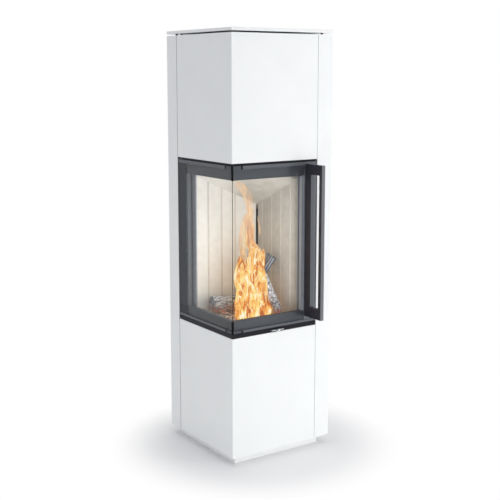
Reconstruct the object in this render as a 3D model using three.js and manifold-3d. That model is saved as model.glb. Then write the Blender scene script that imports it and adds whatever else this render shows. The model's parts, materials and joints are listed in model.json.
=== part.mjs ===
// Free-standing tiled stove with a fire chamber glazed round its front left corner.
//
// Millimetres, +Z up. The front faces -Y and the glazed side faces -X. While the pieces are drawn,
// X runs from the left face, Y from the front face and Z from the floor. The last group moves the
// whole stove so that its origin is the middle of its plan box, at floor level.

import * as THREE from 'three';
import { mergeVertices } from 'three/addons/utils/BufferGeometryUtils.js';
import Module from 'manifold-3d';

const wasm = await Module();
wasm.setup();

// ---------------------------------------------------------------------------------------------
// Driving dimensions
// ---------------------------------------------------------------------------------------------

const WIDTH = 430;
const DEPTH = 430;
const HEIGHT = 1530;

const FIT = 0.3;                // gap between pieces that touch
const TILE = 12;                // wall of tiles and casings
const SHEET = 3;                // steel sheet
const SEAM_X = 365;             // seam on the front, left edge of the right casing's strip
const SEAM_Y = 360.5;           // seam on the left side
const SEAM_HALF = 0.9;

const PLINTH_HEIGHT = 30;
const PLINTH_FRONT_INSET = 26;
const PLINTH_REAR_X = 396;
const PLINTH_REAR_Y = 393;
const TILE_BOTTOM = 34;
const LOWER_TILE_TOP = 469;
const SHELF_TOP = 484.2;
const CROWN_BOTTOM = 1072;      // black plate above the door
const CROWN_TOP = 1077.2;
const TILE_TOP = 1513.5;
const LID_BOTTOM = 1519;
const BLACK_INSET = 2;          // how far the black bands lie behind the tiles' faces

const FLUE_X = 205;
const FLUE_Y = 205;
const FLUE_RADIUS = 75;
const AIR_RADIUS = 50;
const AIR_Z = 405;

const DOOR_BOTTOM = 485.7;
const DOOR_TOP = 1069.8;
const GLASS_FACE = 3;           // depth of the door's outer face behind the tiles
const GLASS_BACK = 8;
const FRAME_FACE = 8.3;
const FRAME_BACK = 23;
const CLEAR_BOTTOM = 530;       // clear part of the glass
const CLEAR_TOP = 1020;
const CLEAR_X = 303;
const CLEAR_Y = 301;
const STILE_LAP = 9;            // glass that lies over the stile
const DOOR_END_X = 363;
const DOOR_END_Y = 357.5;
const ROPE_RADIUS = 4.5;
const ROPE_DEPTH = 25;
const ROPE_X = 338;
const ROPE_Y = 333;
const ROPE_BOTTOM = 508;
const ROPE_TOP = 1046;
const HINGE_X = 10;
const HINGE_Y = 350;
const PIN_RADIUS = 4;
const PIN_REACH = 20;

const HANDLE_X = 314;
const HANDLE_THICK = 14;
const HANDLE_REACH = 92;
const HANDLE_BOTTOM = 509;
const HANDLE_TOP = 1062;
const HANDLE_ARM = 38;
const HANDLE_REAR_POST = 31;
const HANDLE_FRONT_POST = 15;
const HANDLE_SCREW_RISE = 28;

const SEAL_FACE = 30;           // sealing faces of the fire box behind the door
const SEAL_BACK = 34;
const CHAMBER_X = 302;          // inner face of the right lining
const CHAMBER_Y = 286;          // inner face of the rear lining
const LINING = 30;
const CORNER_GAP = 5;
const FLOOR_TOP = 496;
const AIR_GUTTER = 16;
const GROOVE_PITCH = 58;
const GROOVE_WIDTH = 8;
const GROOVE_DEPTH = 4;
const BAFFLE_THICK = 25;
const BAFFLE_LEVEL = 1159;      // height of the baffle's underside where X + Y = 0
const BAFFLE_FALL = 0.46;       // its fall per millimetre of X and per millimetre of Y
const SMOKE_EDGE = 262;         // X + Y along the baffle's free edge

const LEVER_X = 191;             // knob of the air lever at mid travel
const LEVER_WIDTH = 20;
const LEVER_TRAVEL = 20;
const LEVER_REACH = 13;
const BLADE_BOTTOM = 474.8;
const BLADE_TOP = 477.6;

// ---------------------------------------------------------------------------------------------
// Materials
// ---------------------------------------------------------------------------------------------

function material(color, roughness, metalness = 0) {
  return new THREE.MeshStandardMaterial({ color, roughness, metalness });
}

const whiteGlaze = () => material(0xf7f9f8, 0.18);
const whitePaint = () => material(0xe9ebeb, 0.45);
const blackPaint = () => material(0x35353d, 0.5);
const doorPaint = () => material(0x585c5f, 0.45);
const stripPaint = () => material(0x757a7e, 0.35);
const jambPaint = () => material(0x80848a, 0.5);
const bareSteel = () => material(0x9a9c9f, 0.4, 0.8);
const polishedSteel = () => material(0xd8dadc, 0.12, 1);
const fireclay = () => material(0xe6e2d8, 0.85);
const ropeFibre = () => material(0x55565a, 0.95);
const charredWood = () => material(0x77777a, 0.9);
const rubber = () => material(0x1d1e20, 0.8);

function clearGlass() {
  const glass = material(0xdfe4e4, 0.05);
  glass.transparent = true;
  glass.opacity = 0.3;
  return glass;
}

// ---------------------------------------------------------------------------------------------
// Solids
// ---------------------------------------------------------------------------------------------

function solid(geometry) {
  const bare = geometry.index ? geometry.toNonIndexed() : geometry.clone();
  bare.deleteAttribute('normal');
  bare.deleteAttribute('uv');
  const merged = mergeVertices(bare, 1e-4);
  const vertProperties = new Float32Array(merged.attributes.position.array);
  const triVerts = new Uint32Array(merged.index.array);
  return new wasm.Manifold(new wasm.Mesh({ numProp: 3, vertProperties, triVerts }));
}

function geometryOf(body) {
  const mesh = body.getMesh();
  const geometry = new THREE.BufferGeometry();
  geometry.setAttribute('position', new THREE.BufferAttribute(mesh.vertProperties.slice(), 3));
  geometry.setIndex(new THREE.BufferAttribute(mesh.triVerts.slice(), 1));
  geometry.computeVertexNormals();
  return geometry;
}

function join(bodies) {
  return bodies.reduce((whole, next) => whole.add(next));
}

// Box between two opposite corners.
function block([x0, y0, z0], [x1, y1, z1]) {
  const box = new THREE.BoxGeometry(x1 - x0, y1 - y0, z1 - z0);
  box.translate((x0 + x1) / 2, (y0 + y1) / 2, (z0 + z1) / 2);
  return solid(box);
}

function outline(points) {
  return new THREE.Shape(points.map(([x, y]) => new THREE.Vector2(x, y)));
}

// Outline in plan, raised from one level to another.
function prism(points, bottom, top) {
  const geometry = new THREE.ExtrudeGeometry(outline(points), { depth: top - bottom, bevelEnabled: false });
  geometry.translate(0, 0, bottom);
  return solid(geometry);
}

// Outline drawn in Y and Z, run along X.
function sideways(shape, left, right) {
  const options = { depth: right - left, bevelEnabled: false, curveSegments: 6 };
  const geometry = new THREE.ExtrudeGeometry(shape, options);
  const turn = new THREE.Matrix4().makeBasis(
    new THREE.Vector3(0, 1, 0),
    new THREE.Vector3(0, 0, 1),
    new THREE.Vector3(1, 0, 0),
  );
  geometry.applyMatrix4(turn);
  geometry.translate(left, 0, 0);
  return solid(geometry);
}

// Upright body of revolution from [radius, height] pairs.
function turned(profile, x, y, sides = 32) {
  const geometry = new THREE.LatheGeometry(profile.map(([r, z]) => new THREE.Vector2(r, z)), sides);
  geometry.rotateX(Math.PI / 2);
  geometry.translate(x, y, 0);
  return solid(geometry);
}

function uprightRod(x, y, radius, bottom, top, sides = 24) {
  return turned([[0, bottom], [radius, bottom], [radius, top], [0, top]], x, y, sides);
}

// Rod from one point to another.
function rod(from, to, radius, sides = 24) {
  const start = new THREE.Vector3(...from);
  const along = new THREE.Vector3(...to).sub(start);
  const geometry = new THREE.CylinderGeometry(radius, radius, along.length(), sides);
  geometry.translate(0, along.length() / 2, 0);
  const up = new THREE.Vector3(0, 1, 0);
  geometry.applyQuaternion(new THREE.Quaternion().setFromUnitVectors(up, along.normalize()));
  geometry.translate(start.x, start.y, start.z);
  return solid(geometry);
}

// Two walls that meet at the front left corner, from depth `near` to depth `far`.
function cornerWalls(near, far, endX, endY, bottom, top) {
  const points = [[near, near], [endX, near], [endX, far], [far, far], [far, endY], [near, endY]];
  return prism(points, bottom, top);
}

const stove = new THREE.Group();
const corner = new THREE.Group();
corner.position.set(-WIDTH / 2, -(DEPTH - HANDLE_REACH) / 2, 0);
stove.add(corner);

function place(name, body, surface, group = corner) {
  const mesh = new THREE.Mesh(geometryOf(body), surface);
  mesh.name = name;
  group.add(mesh);
  return mesh;
}

// ---------------------------------------------------------------------------------------------
// Stand
// ---------------------------------------------------------------------------------------------

const BASE_PLATE_INSET = 6;
const BASE_PLATE_BOTTOM = PLINTH_HEIGHT + 0.2;
const FOOT_INSET = 34;
const FOOT_PAD_RADIUS = 20;
const FOOT_PAD_HEIGHT = 6;
const FOOT_STEM_RADIUS = 6;
const PLINTH_CLEARANCE = 1;
const PLINTH_FLANGE = 20;

function levellingFeet() {
  const profile = [
    [0, 0],
    [FOOT_PAD_RADIUS - 1, 0],
    [FOOT_PAD_RADIUS, 1],
    [FOOT_PAD_RADIUS, FOOT_PAD_HEIGHT - 3],
    [FOOT_STEM_RADIUS + 3, FOOT_PAD_HEIGHT],
    [FOOT_STEM_RADIUS, FOOT_PAD_HEIGHT],
    [FOOT_STEM_RADIUS, BASE_PLATE_BOTTOM - FIT],
    [0, BASE_PLATE_BOTTOM - FIT],
  ];
  const xs = [PLINTH_FRONT_INSET + FOOT_INSET, PLINTH_REAR_X - FOOT_INSET];
  const ys = [PLINTH_FRONT_INSET + FOOT_INSET, PLINTH_REAR_Y - FOOT_INSET];
  let number = 1;
  for (const y of ys) {
    for (const x of xs) {
      place(`levelling_foot_${number}`, turned(profile, x, y, 24), bareSteel());
      number += 1;
    }
  }
}

// Skirt folded from sheet, with a flange turned in at the top.
function plinth() {
  const near = PLINTH_FRONT_INSET;
  const top = PLINTH_HEIGHT - 0.1;
  const outer = block([near, near, PLINTH_CLEARANCE], [PLINTH_REAR_X, PLINTH_REAR_Y, top]);
  const hollow = block(
    [near + SHEET, near + SHEET, 0],
    [PLINTH_REAR_X - SHEET, PLINTH_REAR_Y - SHEET, top - SHEET],
  );
  const mouth = block(
    [near + PLINTH_FLANGE, near + PLINTH_FLANGE, 0],
    [PLINTH_REAR_X - PLINTH_FLANGE, PLINTH_REAR_Y - PLINTH_FLANGE, top + 1],
  );
  place('plinth', outer.subtract(hollow).subtract(mouth), whitePaint());
}

function basePlate() {
  const inset = BASE_PLATE_INSET;
  const low = [inset, inset, BASE_PLATE_BOTTOM];
  const high = [WIDTH - inset, DEPTH - inset, TILE_BOTTOM - FIT];
  place('base_plate', block(low, high), whitePaint());
}

// ---------------------------------------------------------------------------------------------
// Tiles and casings
// ---------------------------------------------------------------------------------------------

function cornerPanels() {
  const endX = SEAM_X - SEAM_HALF;
  const endY = SEAM_Y - SEAM_HALF;
  const lower = cornerWalls(0, TILE, endX, endY, TILE_BOTTOM, LOWER_TILE_TOP);
  const upper = cornerWalls(0, TILE, endX, endY, CROWN_TOP + FIT, TILE_TOP);
  place('lower_corner_panel', lower, whiteGlaze());
  place('upper_corner_panel', upper, whiteGlaze());
}

// Full-height side whose ends turn round onto the front and the back.
function rightCasing() {
  const edge = SEAM_X + SEAM_HALF;
  const inner = WIDTH - TILE;
  const points = [
    [edge, 0],
    [WIDTH, 0],
    [WIDTH, DEPTH],
    [edge, DEPTH],
    [edge, DEPTH - TILE],
    [inner, DEPTH - TILE],
    [inner, TILE],
    [edge, TILE],
  ];
  place('right_casing', prism(points, TILE_BOTTOM, TILE_TOP), whiteGlaze());
}

function rearCasing() {
  const edgeY = SEAM_Y + SEAM_HALF;
  const edgeX = SEAM_X - SEAM_HALF;
  const points = [
    [0, edgeY],
    [TILE, edgeY],
    [TILE, DEPTH - TILE],
    [edgeX, DEPTH - TILE],
    [edgeX, DEPTH],
    [0, DEPTH],
  ];
  const inletHole = rod([FLUE_X, DEPTH - TILE - 5, AIR_Z], [FLUE_X, DEPTH + 5, AIR_Z], AIR_RADIUS + 2, 32);
  place('rear_casing', prism(points, TILE_BOTTOM, TILE_TOP).subtract(inletHole), whiteGlaze());
}

const LID_HOLE_RADIUS = 81;
const LID_EDGE = 1;
const SPACER_RADIUS = 4.5;
const SPACERS = [[6, 367], [384, 6], [424, 330], [60, 424]];

// Lid whose upper and lower edges are broken by a small chamfer.
function topPlate() {
  const shape = outline([[0, 0], [WIDTH, 0], [WIDTH, DEPTH], [0, DEPTH]]);
  const plate = new THREE.ExtrudeGeometry(shape, {
    depth: HEIGHT - LID_BOTTOM - 2 * LID_EDGE,
    bevelEnabled: true,
    bevelThickness: LID_EDGE,
    bevelSize: LID_EDGE,
    bevelOffset: -LID_EDGE,
    bevelSegments: 1,
  });
  plate.translate(0, 0, LID_BOTTOM + LID_EDGE);
  const hole = uprightRod(FLUE_X, FLUE_Y, LID_HOLE_RADIUS, LID_BOTTOM - 5, HEIGHT + 5, 32);
  place('top_plate', solid(plate).subtract(hole), whiteGlaze());
}

function topSpacers() {
  SPACERS.forEach(([x, y], index) => {
    const pad = uprightRod(x, y, SPACER_RADIUS, TILE_TOP + FIT, LID_BOTTOM - FIT, 16);
    place(`top_spacer_${index + 1}`, pad, rubber());
  });
}

// ---------------------------------------------------------------------------------------------
// Steel posts
// ---------------------------------------------------------------------------------------------

const POST_LEG = 30;
const POST_INSET = 17.3;

// Angle section whose corner is at (x, y) and whose legs point along dirX and dirY.
function anglePost(name, x, y, dirX, dirY, bottom, top) {
  const points = [
    [x, y],
    [x + dirX * POST_LEG, y],
    [x + dirX * POST_LEG, y + dirY * SHEET],
    [x + dirX * SHEET, y + dirY * SHEET],
    [x + dirX * SHEET, y + dirY * POST_LEG],
    [x, y + dirY * POST_LEG],
  ];
  place(name, prism(points, bottom, top), bareSteel());
}

function posts() {
  const near = POST_INSET;
  const farX = WIDTH - POST_INSET;
  const farY = DEPTH - POST_INSET;
  const trayCeiling = SHELF_TOP - SHEET - FIT;
  anglePost('post_front_left_lower', near, near, 1, 1, TILE_BOTTOM, trayCeiling);
  anglePost('post_front_right_lower', farX, near, -1, 1, TILE_BOTTOM, trayCeiling);
  anglePost('post_rear_left_lower', near, farY, 1, -1, TILE_BOTTOM, trayCeiling);
  anglePost('post_rear_right_lower', farX, farY, -1, -1, TILE_BOTTOM, trayCeiling);
  anglePost('post_front_right_upper', farX, near, -1, 1, CROWN_TOP + FIT, TILE_TOP);
  anglePost('post_rear_left_upper', near, farY, 1, -1, CROWN_TOP + FIT, TILE_TOP);
}

// ---------------------------------------------------------------------------------------------
// Black shelf under the door and black plate above it
// ---------------------------------------------------------------------------------------------

const PORT_X = [205, 245];      // air port in the shelf
const PORT_Y = [38, 47];
const LEVER_SLOT_MARGIN = 3;
const LEVER_SLOT_GAP = 0.8;
const LEVER_SLOT_DEPTH = 10;
const DECK_GAP = 1;             // between the decks and the casings' inner faces

// Plan that reaches the open corner and stays clear of both casings, shrunk by `margin`.
function deckPlan(margin) {
  const near = BLACK_INSET + margin;
  const inside = TILE + DECK_GAP + margin;
  const farX = WIDTH - TILE - DECK_GAP - margin;
  const farY = DEPTH - TILE - DECK_GAP - margin;
  const endX = SEAM_X - SEAM_HALF - margin;
  const endY = SEAM_Y - SEAM_HALF - margin;
  return [
    [near, near],
    [endX, near],
    [endX, inside],
    [farX, inside],
    [farX, farY],
    [inside, farY],
    [inside, endY],
    [near, endY],
  ];
}

// Folded tray, open below, with the slot that the air lever comes out of.
function baseShelf() {
  const bottom = LOWER_TILE_TOP + FIT;
  const tray = prism(deckPlan(0), bottom, SHELF_TOP);
  const pocket = prism(deckPlan(SHEET), bottom - 5, SHELF_TOP - SHEET);
  const half = LEVER_WIDTH / 2 + LEVER_TRAVEL + LEVER_SLOT_MARGIN;
  const slot = block(
    [LEVER_X - half, 0, BLADE_BOTTOM - LEVER_SLOT_GAP],
    [LEVER_X + half, LEVER_SLOT_DEPTH, BLADE_TOP + LEVER_SLOT_GAP],
  );
  const port = block([PORT_X[0], PORT_Y[0], bottom], [PORT_X[1], PORT_Y[1], SHELF_TOP + 5]);
  place('base_shelf', tray.subtract(pocket).subtract(slot).subtract(port), blackPaint());
}

function fireboxTop() {
  const plate = prism(deckPlan(0), CROWN_BOTTOM, CROWN_TOP);
  const hole = uprightRod(FLUE_X, FLUE_Y, FLUE_RADIUS - 2, CROWN_BOTTOM - 5, CROWN_TOP + 5, 32);
  place('firebox_top', plate.subtract(hole), blackPaint());
}

// ---------------------------------------------------------------------------------------------
// Fire box
// ---------------------------------------------------------------------------------------------

const WALL_BOTTOM = SHELF_TOP + FIT;
const WALL_TOP = CROWN_BOTTOM - FIT;
const WALL_GAP = 1;
const WALL_X = CHAMBER_X + LINING + WALL_GAP;
const WALL_Y = CHAMBER_Y + LINING + WALL_GAP;
const LEFT_JAMB_START = CHAMBER_Y - 4;
const JAMB_END_X = 348;
const JAMB_END_Y = 344;
const SILL_RISE = 38;
const HEAD_DROP = 42;

function fireboxWalls() {
  const right = block([WALL_X, SEAL_BACK + FIT, WALL_BOTTOM], [WALL_X + SHEET, WALL_Y + SHEET, WALL_TOP]);
  const rear = block([SEAL_BACK + FIT, WALL_Y, WALL_BOTTOM], [WALL_X - FIT, WALL_Y + SHEET, WALL_TOP]);
  place('right_wall', right, blackPaint());
  place('rear_wall', rear, blackPaint());
}

// Faces that the door's rope presses on.
function sealingFaces() {
  const endX = CHAMBER_X - FIT;
  const endY = LEFT_JAMB_START - FIT;
  const right = block([CHAMBER_X, SEAL_FACE, WALL_BOTTOM], [JAMB_END_X, SEAL_BACK, WALL_TOP]);
  const left = block([SEAL_FACE, LEFT_JAMB_START, WALL_BOTTOM], [SEAL_BACK, JAMB_END_Y, WALL_TOP]);
  const sill = cornerWalls(SEAL_FACE, SEAL_BACK, endX, endY, WALL_BOTTOM, WALL_BOTTOM + SILL_RISE);
  const head = cornerWalls(SEAL_FACE, SEAL_BACK, endX, endY, WALL_TOP - HEAD_DROP, WALL_TOP);
  place('right_jamb', right, jambPaint());
  place('left_jamb', left, jambPaint());
  place('sill_frame', sill, jambPaint());
  place('head_frame', head, jambPaint());
}

function hearthFloor() {
  const near = SEAL_BACK + AIR_GUTTER;
  const slab = block([near, near, WALL_BOTTOM], [CHAMBER_X - FIT, CHAMBER_Y - FIT, FLOOR_TOP]);
  place('hearth_floor', slab, fireclay());
}

// Line of a lining's face from one end to the other, broken by V grooves at an even pitch.
// Each point is [distance along the face, depth into the slab].
function groovedLine(from, to, firstGroove) {
  const line = [[from, 0]];
  for (let at = firstGroove; at < to - GROOVE_WIDTH; at += GROOVE_PITCH) {
    line.push([at - GROOVE_WIDTH / 2, 0], [at, GROOVE_DEPTH], [at + GROOVE_WIDTH / 2, 0]);
  }
  line.push([to, 0]);
  return line;
}

// Everything above the sloping underside of the baffle, less `clearance`.
function aboveBafflePlane(clearance) {
  const reach = 400;
  const thick = 600;
  const slab = new THREE.BoxGeometry(reach * 2, reach * 2, thick);
  slab.translate(0, 0, thick / 2);
  const shear = new THREE.Matrix4().set(
    1, 0, 0, reach / 2,
    0, 1, 0, reach / 2,
    -BAFFLE_FALL, -BAFFLE_FALL, 1, BAFFLE_LEVEL - BAFFLE_FALL * reach - clearance,
    0, 0, 0, 1,
  );
  slab.applyMatrix4(shear);
  return solid(slab);
}

const REAR_FIRST_GROOVE = 86;
const RIGHT_FIRST_GROOVE = 75;

function linings() {
  const rearLine = groovedLine(SEAL_BACK + FIT, CHAMBER_X - CORNER_GAP, REAR_FIRST_GROOVE);
  const rearPlan = rearLine.map(([along, depth]) => [along, CHAMBER_Y + depth]);
  rearPlan.push([CHAMBER_X - CORNER_GAP, CHAMBER_Y + LINING], [SEAL_BACK + FIT, CHAMBER_Y + LINING]);
  const rightLine = groovedLine(SEAL_BACK + FIT, CHAMBER_Y - CORNER_GAP, RIGHT_FIRST_GROOVE);
  const rightPlan = rightLine.map(([along, depth]) => [CHAMBER_X + depth, along]);
  rightPlan.push([CHAMBER_X + LINING, CHAMBER_Y - CORNER_GAP], [CHAMBER_X + LINING, SEAL_BACK + FIT]);
  rightPlan.reverse();
  const top = WALL_TOP;
  const cut = aboveBafflePlane(FIT);
  place('rear_lining', prism(rearPlan, WALL_BOTTOM, top).subtract(cut), fireclay());
  place('right_lining', prism(rightPlan, WALL_BOTTOM, top).subtract(cut), fireclay());
}

const BAFFLE_GAP = 2;           // between the baffle and the sealing faces
const BAFFLE_COLUMN_BOTTOM = 800;

// Slab that slopes down to the rear right corner and leaves the smoke passage at the front left.
function baffle() {
  const near = SEAL_BACK + BAFFLE_GAP;
  const farX = CHAMBER_X + LINING;
  const farY = CHAMBER_Y + LINING;
  const plan = [
    [SMOKE_EDGE - near, near],
    [farX, near],
    [farX, farY],
    [near, farY],
    [near, SMOKE_EDGE - near],
  ];
  const column = prism(plan, BAFFLE_COLUMN_BOTTOM, WALL_TOP);
  const slab = column.intersect(aboveBafflePlane(0)).subtract(aboveBafflePlane(-BAFFLE_THICK));
  place('baffle', slab, fireclay());
}

// ---------------------------------------------------------------------------------------------
// Smoke and air
// ---------------------------------------------------------------------------------------------

const FLUE_WALL = 2;
const FLUE_TOP = 1526;
const FLANGE = 20;
const COLLAR_FIT = 0.4;
const COLLAR_BRIM = 12;

function fluePipe() {
  const bottom = CROWN_TOP + FIT;
  const inner = FLUE_RADIUS - FLUE_WALL;
  const profile = [
    [inner, bottom],
    [FLUE_RADIUS + FLANGE, bottom],
    [FLUE_RADIUS + FLANGE, bottom + SHEET],
    [FLUE_RADIUS, bottom + SHEET],
    [FLUE_RADIUS, FLUE_TOP],
    [inner, FLUE_TOP],
    [inner, bottom],
  ];
  place('flue_pipe', turned(profile, FLUE_X, FLUE_Y), bareSteel());
}

// Rosette that fills the ring between the pipe and the lid.
function flueCollar() {
  const inner = FLUE_RADIUS + COLLAR_FIT;
  const neck = LID_HOLE_RADIUS - COLLAR_FIT;
  const under = LID_BOTTOM - FIT;
  const profile = [
    [inner, under - SHEET],
    [neck + COLLAR_BRIM, under - SHEET],
    [neck + COLLAR_BRIM, under],
    [neck, under],
    [neck, HEIGHT - FIT],
    [inner, HEIGHT - FIT],
    [inner, under - SHEET],
  ];
  place('flue_collar', turned(profile, FLUE_X, FLUE_Y), blackPaint());
}

const AIR_BOX_X = [90, 310];
const AIR_BOX_Y = [34, 180];
const AIR_BOX_BOTTOM = 342;

// Box open at the top, whose front wall is lower, so that the shutter slides over it.
function airBox() {
  const [x0, x1] = AIR_BOX_X;
  const [y0, y1] = AIR_BOX_Y;
  const top = SHELF_TOP - SHEET - FIT;
  const outer = block([x0, y0, AIR_BOX_BOTTOM], [x1, y1, top]);
  const inner = block([x0 + SHEET, y0 + SHEET, AIR_BOX_BOTTOM + SHEET], [x1 - SHEET, y1 - SHEET, top + 5]);
  const step = block([x0 + SHEET, y0 - 5, BLADE_TOP + 0.1], [x1 - SHEET, y0 + SHEET + 5, top + 5]);
  const inlet = rod([FLUE_X, y1 - 10, AIR_Z], [FLUE_X, y1 + 5, AIR_Z], AIR_RADIUS - 2, 32);
  place('air_box', outer.subtract(inner).subtract(step).subtract(inlet), bareSteel());
}

function airInletPipe() {
  const start = AIR_BOX_Y[1] + FIT;
  const tube = rod([FLUE_X, start, AIR_Z], [FLUE_X, DEPTH - FIT, AIR_Z], AIR_RADIUS, 32);
  const bore = rod([FLUE_X, start - 5, AIR_Z], [FLUE_X, DEPTH + 5, AIR_Z], AIR_RADIUS - 2, 32);
  place('air_inlet_pipe', tube.subtract(bore), bareSteel());
}

const SLIDE_X = [155, 275];
const SLIDE_Y = [29, 58];
const SLIDE_WINDOW_X = [185, 225];
const KNOB_RADIUS = 5.5;
const KNOB_BACK = 1;
const CROSSBAR_RADIUS = 2;
const CROSSBAR_X = [164, 218];
const CROSSBAR_Y = -3;

// Shutter plate on the air box and the lever that moves it: a blade that ends in a crossbar with a
// knob.
function airControl() {
  const group = new THREE.Group();
  corner.add(group);
  const plateBottom = BLADE_TOP + 0.4;
  const plateTop = SHELF_TOP - SHEET - FIT;
  const plate = block([SLIDE_X[0], SLIDE_Y[0], plateBottom], [SLIDE_X[1], SLIDE_Y[1], plateTop]);
  const window = block(
    [SLIDE_WINDOW_X[0], PORT_Y[0], plateBottom - 5],
    [SLIDE_WINDOW_X[1], PORT_Y[1], plateTop + 5],
  );
  place('air_slide', plate.subtract(window), bareSteel(), group);
  const left = LEVER_X - LEVER_WIDTH / 2;
  const right = LEVER_X + LEVER_WIDTH / 2;
  const blade = block([left, CROSSBAR_Y, BLADE_BOTTOM], [right, AIR_BOX_Y[0] - FIT, BLADE_TOP]);
  const middle = (BLADE_BOTTOM + BLADE_TOP) / 2;
  const knob = rod([LEVER_X, -LEVER_REACH, middle], [LEVER_X, KNOB_BACK, middle], KNOB_RADIUS, 20);
  const [from, to] = CROSSBAR_X;
  const crossbar = rod([from, CROSSBAR_Y, middle], [to, CROSSBAR_Y, middle], CROSSBAR_RADIUS, 12);
  place('air_lever', join([blade, knob, crossbar]), polishedSteel(), group);
}

// ---------------------------------------------------------------------------------------------
// Door
// ---------------------------------------------------------------------------------------------

// Rope whose runs lie between successive points, with rounded turns.
function ropeLoop(points, radius) {
  const runs = points.map((point, index) => {
    const next = points[(index + 1) % points.length];
    return rod(point, next, radius, 10);
  });
  const turns = points.map(([x, y, z]) => {
    const ball = new THREE.SphereGeometry(radius, 10, 8);
    ball.translate(x, y, z);
    return solid(ball);
  });
  return join([...runs, ...turns]);
}

function ropePoints() {
  const d = ROPE_DEPTH;
  return [
    [d, d, ROPE_BOTTOM],
    [ROPE_X, d, ROPE_BOTTOM],
    [ROPE_X, d, ROPE_TOP],
    [d, d, ROPE_TOP],
    [d, ROPE_Y, ROPE_TOP],
    [d, ROPE_Y, ROPE_BOTTOM],
  ];
}

const ROPE_FIT = 0.4;
const SCREW_RADIUS = 3;
const SCREW_HEAD_RADIUS = 5;
const SCREW_HEAD_HEIGHT = 3.3;
const HANDLE_MIDDLE = HANDLE_X + HANDLE_THICK / 2;

function handleScrewHeights() {
  return { lower: HANDLE_BOTTOM + HANDLE_SCREW_RISE, upper: HANDLE_TOP - HANDLE_SCREW_RISE };
}

// Frame of two rails that turn the corner and two end stiles. No post stands in the corner.
function doorFrame() {
  const bottomRail = cornerWalls(
    FRAME_FACE, FRAME_BACK, DOOR_END_X, DOOR_END_Y, DOOR_BOTTOM, CLEAR_BOTTOM,
  );
  const topRail = cornerWalls(
    FRAME_FACE, FRAME_BACK, DOOR_END_X, DOOR_END_Y, CLEAR_TOP, DOOR_TOP,
  );
  const rightInner = block([CLEAR_X, FRAME_FACE, DOOR_BOTTOM], [DOOR_END_X, FRAME_BACK, DOOR_TOP]);
  const rightFace = block([CLEAR_X + STILE_LAP, GLASS_FACE, DOOR_BOTTOM], [DOOR_END_X, 12, DOOR_TOP]);
  const leftInner = block([FRAME_FACE, CLEAR_Y, DOOR_BOTTOM], [FRAME_BACK, DOOR_END_Y, DOOR_TOP]);
  const leftFace = block([GLASS_FACE, CLEAR_Y + STILE_LAP, DOOR_BOTTOM], [12, DOOR_END_Y, DOOR_TOP]);
  let frame = join([bottomRail, topRail, rightInner, rightFace, leftInner, leftFace]);
  frame = frame.subtract(ropeLoop(ropePoints(), ROPE_RADIUS + ROPE_FIT));
  const bore = PIN_RADIUS + FIT;
  const lowBore = uprightRod(HINGE_X, HINGE_Y, bore, DOOR_BOTTOM - 5, DOOR_BOTTOM + PIN_REACH + 2);
  const highBore = uprightRod(HINGE_X, HINGE_Y, bore, DOOR_TOP - PIN_REACH - 2, DOOR_TOP + 5);
  frame = frame.subtract(lowBore).subtract(highBore);
  for (const z of Object.values(handleScrewHeights())) {
    frame = frame.subtract(rod([HANDLE_MIDDLE, -5, z], [HANDLE_MIDDLE, 30, z], SCREW_RADIUS + FIT, 16));
  }
  return frame;
}

// Panes mitred at the corner, where a thin joint stays open.
function panes() {
  const bottom = DOOR_BOTTOM + 1;
  const top = DOOR_TOP - 1;
  const joint = 0.35;
  const endX = CLEAR_X + STILE_LAP - FIT;
  const endY = CLEAR_Y + STILE_LAP - FIT;
  const near = GLASS_FACE;
  const far = GLASS_BACK;
  const front = [[near + joint, near], [endX, near], [endX, far], [far + joint, far]];
  const side = [[near, near + joint], [far, far + joint], [far, endY], [near, endY]];
  return { front: prism(front, bottom, top), side: prism(side, bottom, top) };
}

const STRIP_FACE = 0.7;
const STRIP_START = 40;
const STRIP_HEIGHT = { bottom: [DOOR_BOTTOM + 0.5, 495.5], top: [1057, DOOR_TOP - 0.5] };
const CLIP_END = STRIP_START - 1.2;

// Strip along the front face, and the same one along the side face.
function strips(low, high) {
  const back = GLASS_FACE - FIT;
  const front = block([STRIP_START, STRIP_FACE, low], [DOOR_END_X - 1, back, high]);
  const side = block([STRIP_FACE, STRIP_START, low], [back, DOOR_END_Y - 1, high]);
  return { front, side };
}

function cornerClip(low, high) {
  return cornerWalls(STRIP_FACE, GLASS_FACE - FIT, CLIP_END, CLIP_END, low, high);
}

function roundedWindow(y0, y1, z0, z1, r) {
  const path = new THREE.Path();
  path.moveTo(y0 + r, z0);
  path.lineTo(y1 - r, z0);
  path.absarc(y1 - r, z0 + r, r, -Math.PI / 2, 0);
  path.lineTo(y1, z1 - r);
  path.absarc(y1 - r, z1 - r, r, 0, Math.PI / 2);
  path.lineTo(y0 + r, z1);
  path.absarc(y0 + r, z1 - r, r, Math.PI / 2, Math.PI);
  path.lineTo(y0, z0 + r);
  path.absarc(y0 + r, z0 + r, r, Math.PI, Math.PI * 1.5);
  return path;
}

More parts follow.
